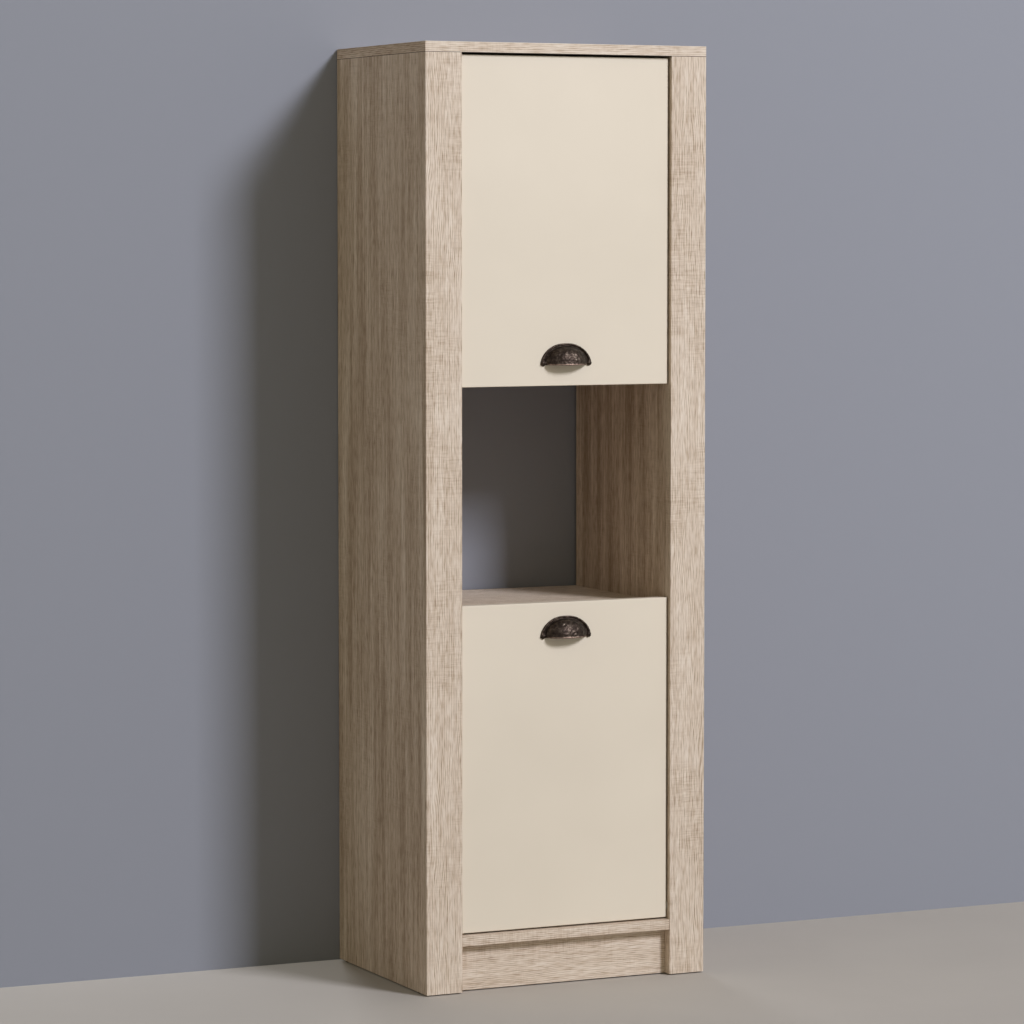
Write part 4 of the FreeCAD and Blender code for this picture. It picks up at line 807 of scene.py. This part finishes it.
# %% [markdown]
# ## Floor, backdrop and light
# The cabinet stands on a plain pale floor of honed stone, matt and faintly clouded, against a
# plain painted wall, which is quite matt. The wall is a sheet that is only there from its front:
# seen from behind it is clear, and it casts no shadow on what is seen, so that the back of the
# cabinet can be looked at as well. Only light that is on its second bounce is stopped by it, which
# keeps the back's light out of the niche.
#
# The key light is a large soft lamp, high on the right in front. The room's soft light comes from
# in front of the wall. Two weak lamps stand for the light that the walls throw back on the left
# side and on the back. Polished metal and the camera see a plain pale grey room instead of the
# dim warm one that lights the boards, because metal mirrors its surroundings.

# %% Make the stage


def plane(name, corners, material):
    """A flat rectangle from its four corners."""
    made = mesh_object(name, np.array(corners, float), [[0, 1, 2, 3]])
    made.data.materials.append(material)


stone, tree = new_material("pale honed stone")
tone = add(tree, "ValToRGB", {0: spots(tree, 900, 5.0)}, stops=[(0.3, "#ACA59D"), (0.7, "#B6AFA6")])
surface(tree, spots(tree, 20), 0.05, Base_Color=tone, Roughness=0.8, Specular_IOR_Level=0.15)
REACH, WALL_Y, WALL_HIGH = 9, 0.2, 6
ground = [(-REACH, -REACH, 0), (REACH, -REACH, 0), (REACH, REACH, 0), (-REACH, REACH, 0)]
plane("floor", ground, stone)

paint, tree = new_material("matt wall paint, grey")
coat = add(tree, "BsdfPrincipled", {"Base Color": "#91939B", "Roughness": 0.9})
behind = add(tree, "NewGeometry", out="Backfacing")
shadow = add(tree, "LightPath", out="Is Shadow Ray")
bounces = add(tree, "LightPath", out="Diffuse Depth")
direct = add(tree, "Math", {0: shadow, 1: bounces}, operation="GREATER_THAN")
hidden = add(tree, "Math", {0: behind, 1: direct}, operation="MAXIMUM")
sheet = add(tree, "MixShader", {0: hidden, 1: coat, 2: add(tree, "BsdfTransparent")})
add(tree, "OutputMaterial", {0: sheet})
upright = [(-REACH, WALL_Y, 0), (REACH, WALL_Y, 0)]
upright += [(REACH, WALL_Y, WALL_HIGH), (-REACH, WALL_Y, WALL_HIGH)]
plane("wall", upright, paint)
print("stage: floor and wall")

# %% Make the lights


def lamp(name, azimuth, elevation, distance, size, power, colour, target):
    """A square soft lamp that looks at the target from an azimuth counted from -Y towards +X.

    Distance and size are in metres, the power in watts. The way from the target to the lamp is
    (sin azimuth * cos elevation, -cos azimuth * cos elevation, sin elevation).
    """
    turn, rise = math.radians(azimuth), math.radians(elevation)
    level = math.cos(rise)
    away = np.array([math.sin(turn) * level, -math.cos(turn) * level, math.sin(rise)])
    data = bpy.data.lights.new(name, "AREA")
    data.size = size
    data.energy = power
    data.color = linear(colour)[:3]
    made = bpy.data.objects.new(name, data)
    made.location = np.array(target) + away * distance
    made.rotation_euler = (math.radians(90 - elevation), 0, turn)
    made.visible_camera = False
    bpy.context.scene.collection.objects.link(made)


# Azimuth, elevation, distance, size, power, colour and target of each lamp.
lamp("key", 26.3, 32, 11.0, 2.3, 1020, "#EFF2FF", (0, 0, 0.9))
lamp("side fill", -92, 15, 6.0, 1.5, 24, "#FFF3DC", (0, 0, 0.8))
lamp("back fill", 170, 0, 5.0, 1.2, 120, "#FFFFFF", (0, 0, 0.5))
world = bpy.data.worlds.new("studio")
bpy.context.scene.world = world
world.use_nodes = True
tree = world.node_tree
tree.nodes.clear()
depth = add(tree, "SeparateXYZ", {0: add(tree, "TexCoord", out="Generated")}, 1)
strength = add(tree, "MapRange", {0: depth, 1: -0.2, 2: 0.2, 3: 0.32, 4: 0.08})
ambient = add(tree, "Background", {"Color": "#FFFADC", "Strength": strength})
pale = add(tree, "Background", {"Color": "#C9CACD", "Strength": 1.0})
kinds = ("Camera", "Glossy", "Transmission")
rays = [add(tree, "LightPath", out=f"Is {kind} Ray") for kind in kinds]
seen = add(tree, "Math", {0: add(tree, "Math", {0: rays[0], 1: rays[1]}), 1: rays[2]})
add(tree, "OutputWorld", {0: add(tree, "MixShader", {0: seen, 1: ambient, 2: pale})})
bpy.context.scene.view_settings.view_transform = "Standard"
print("lamps and world ready")
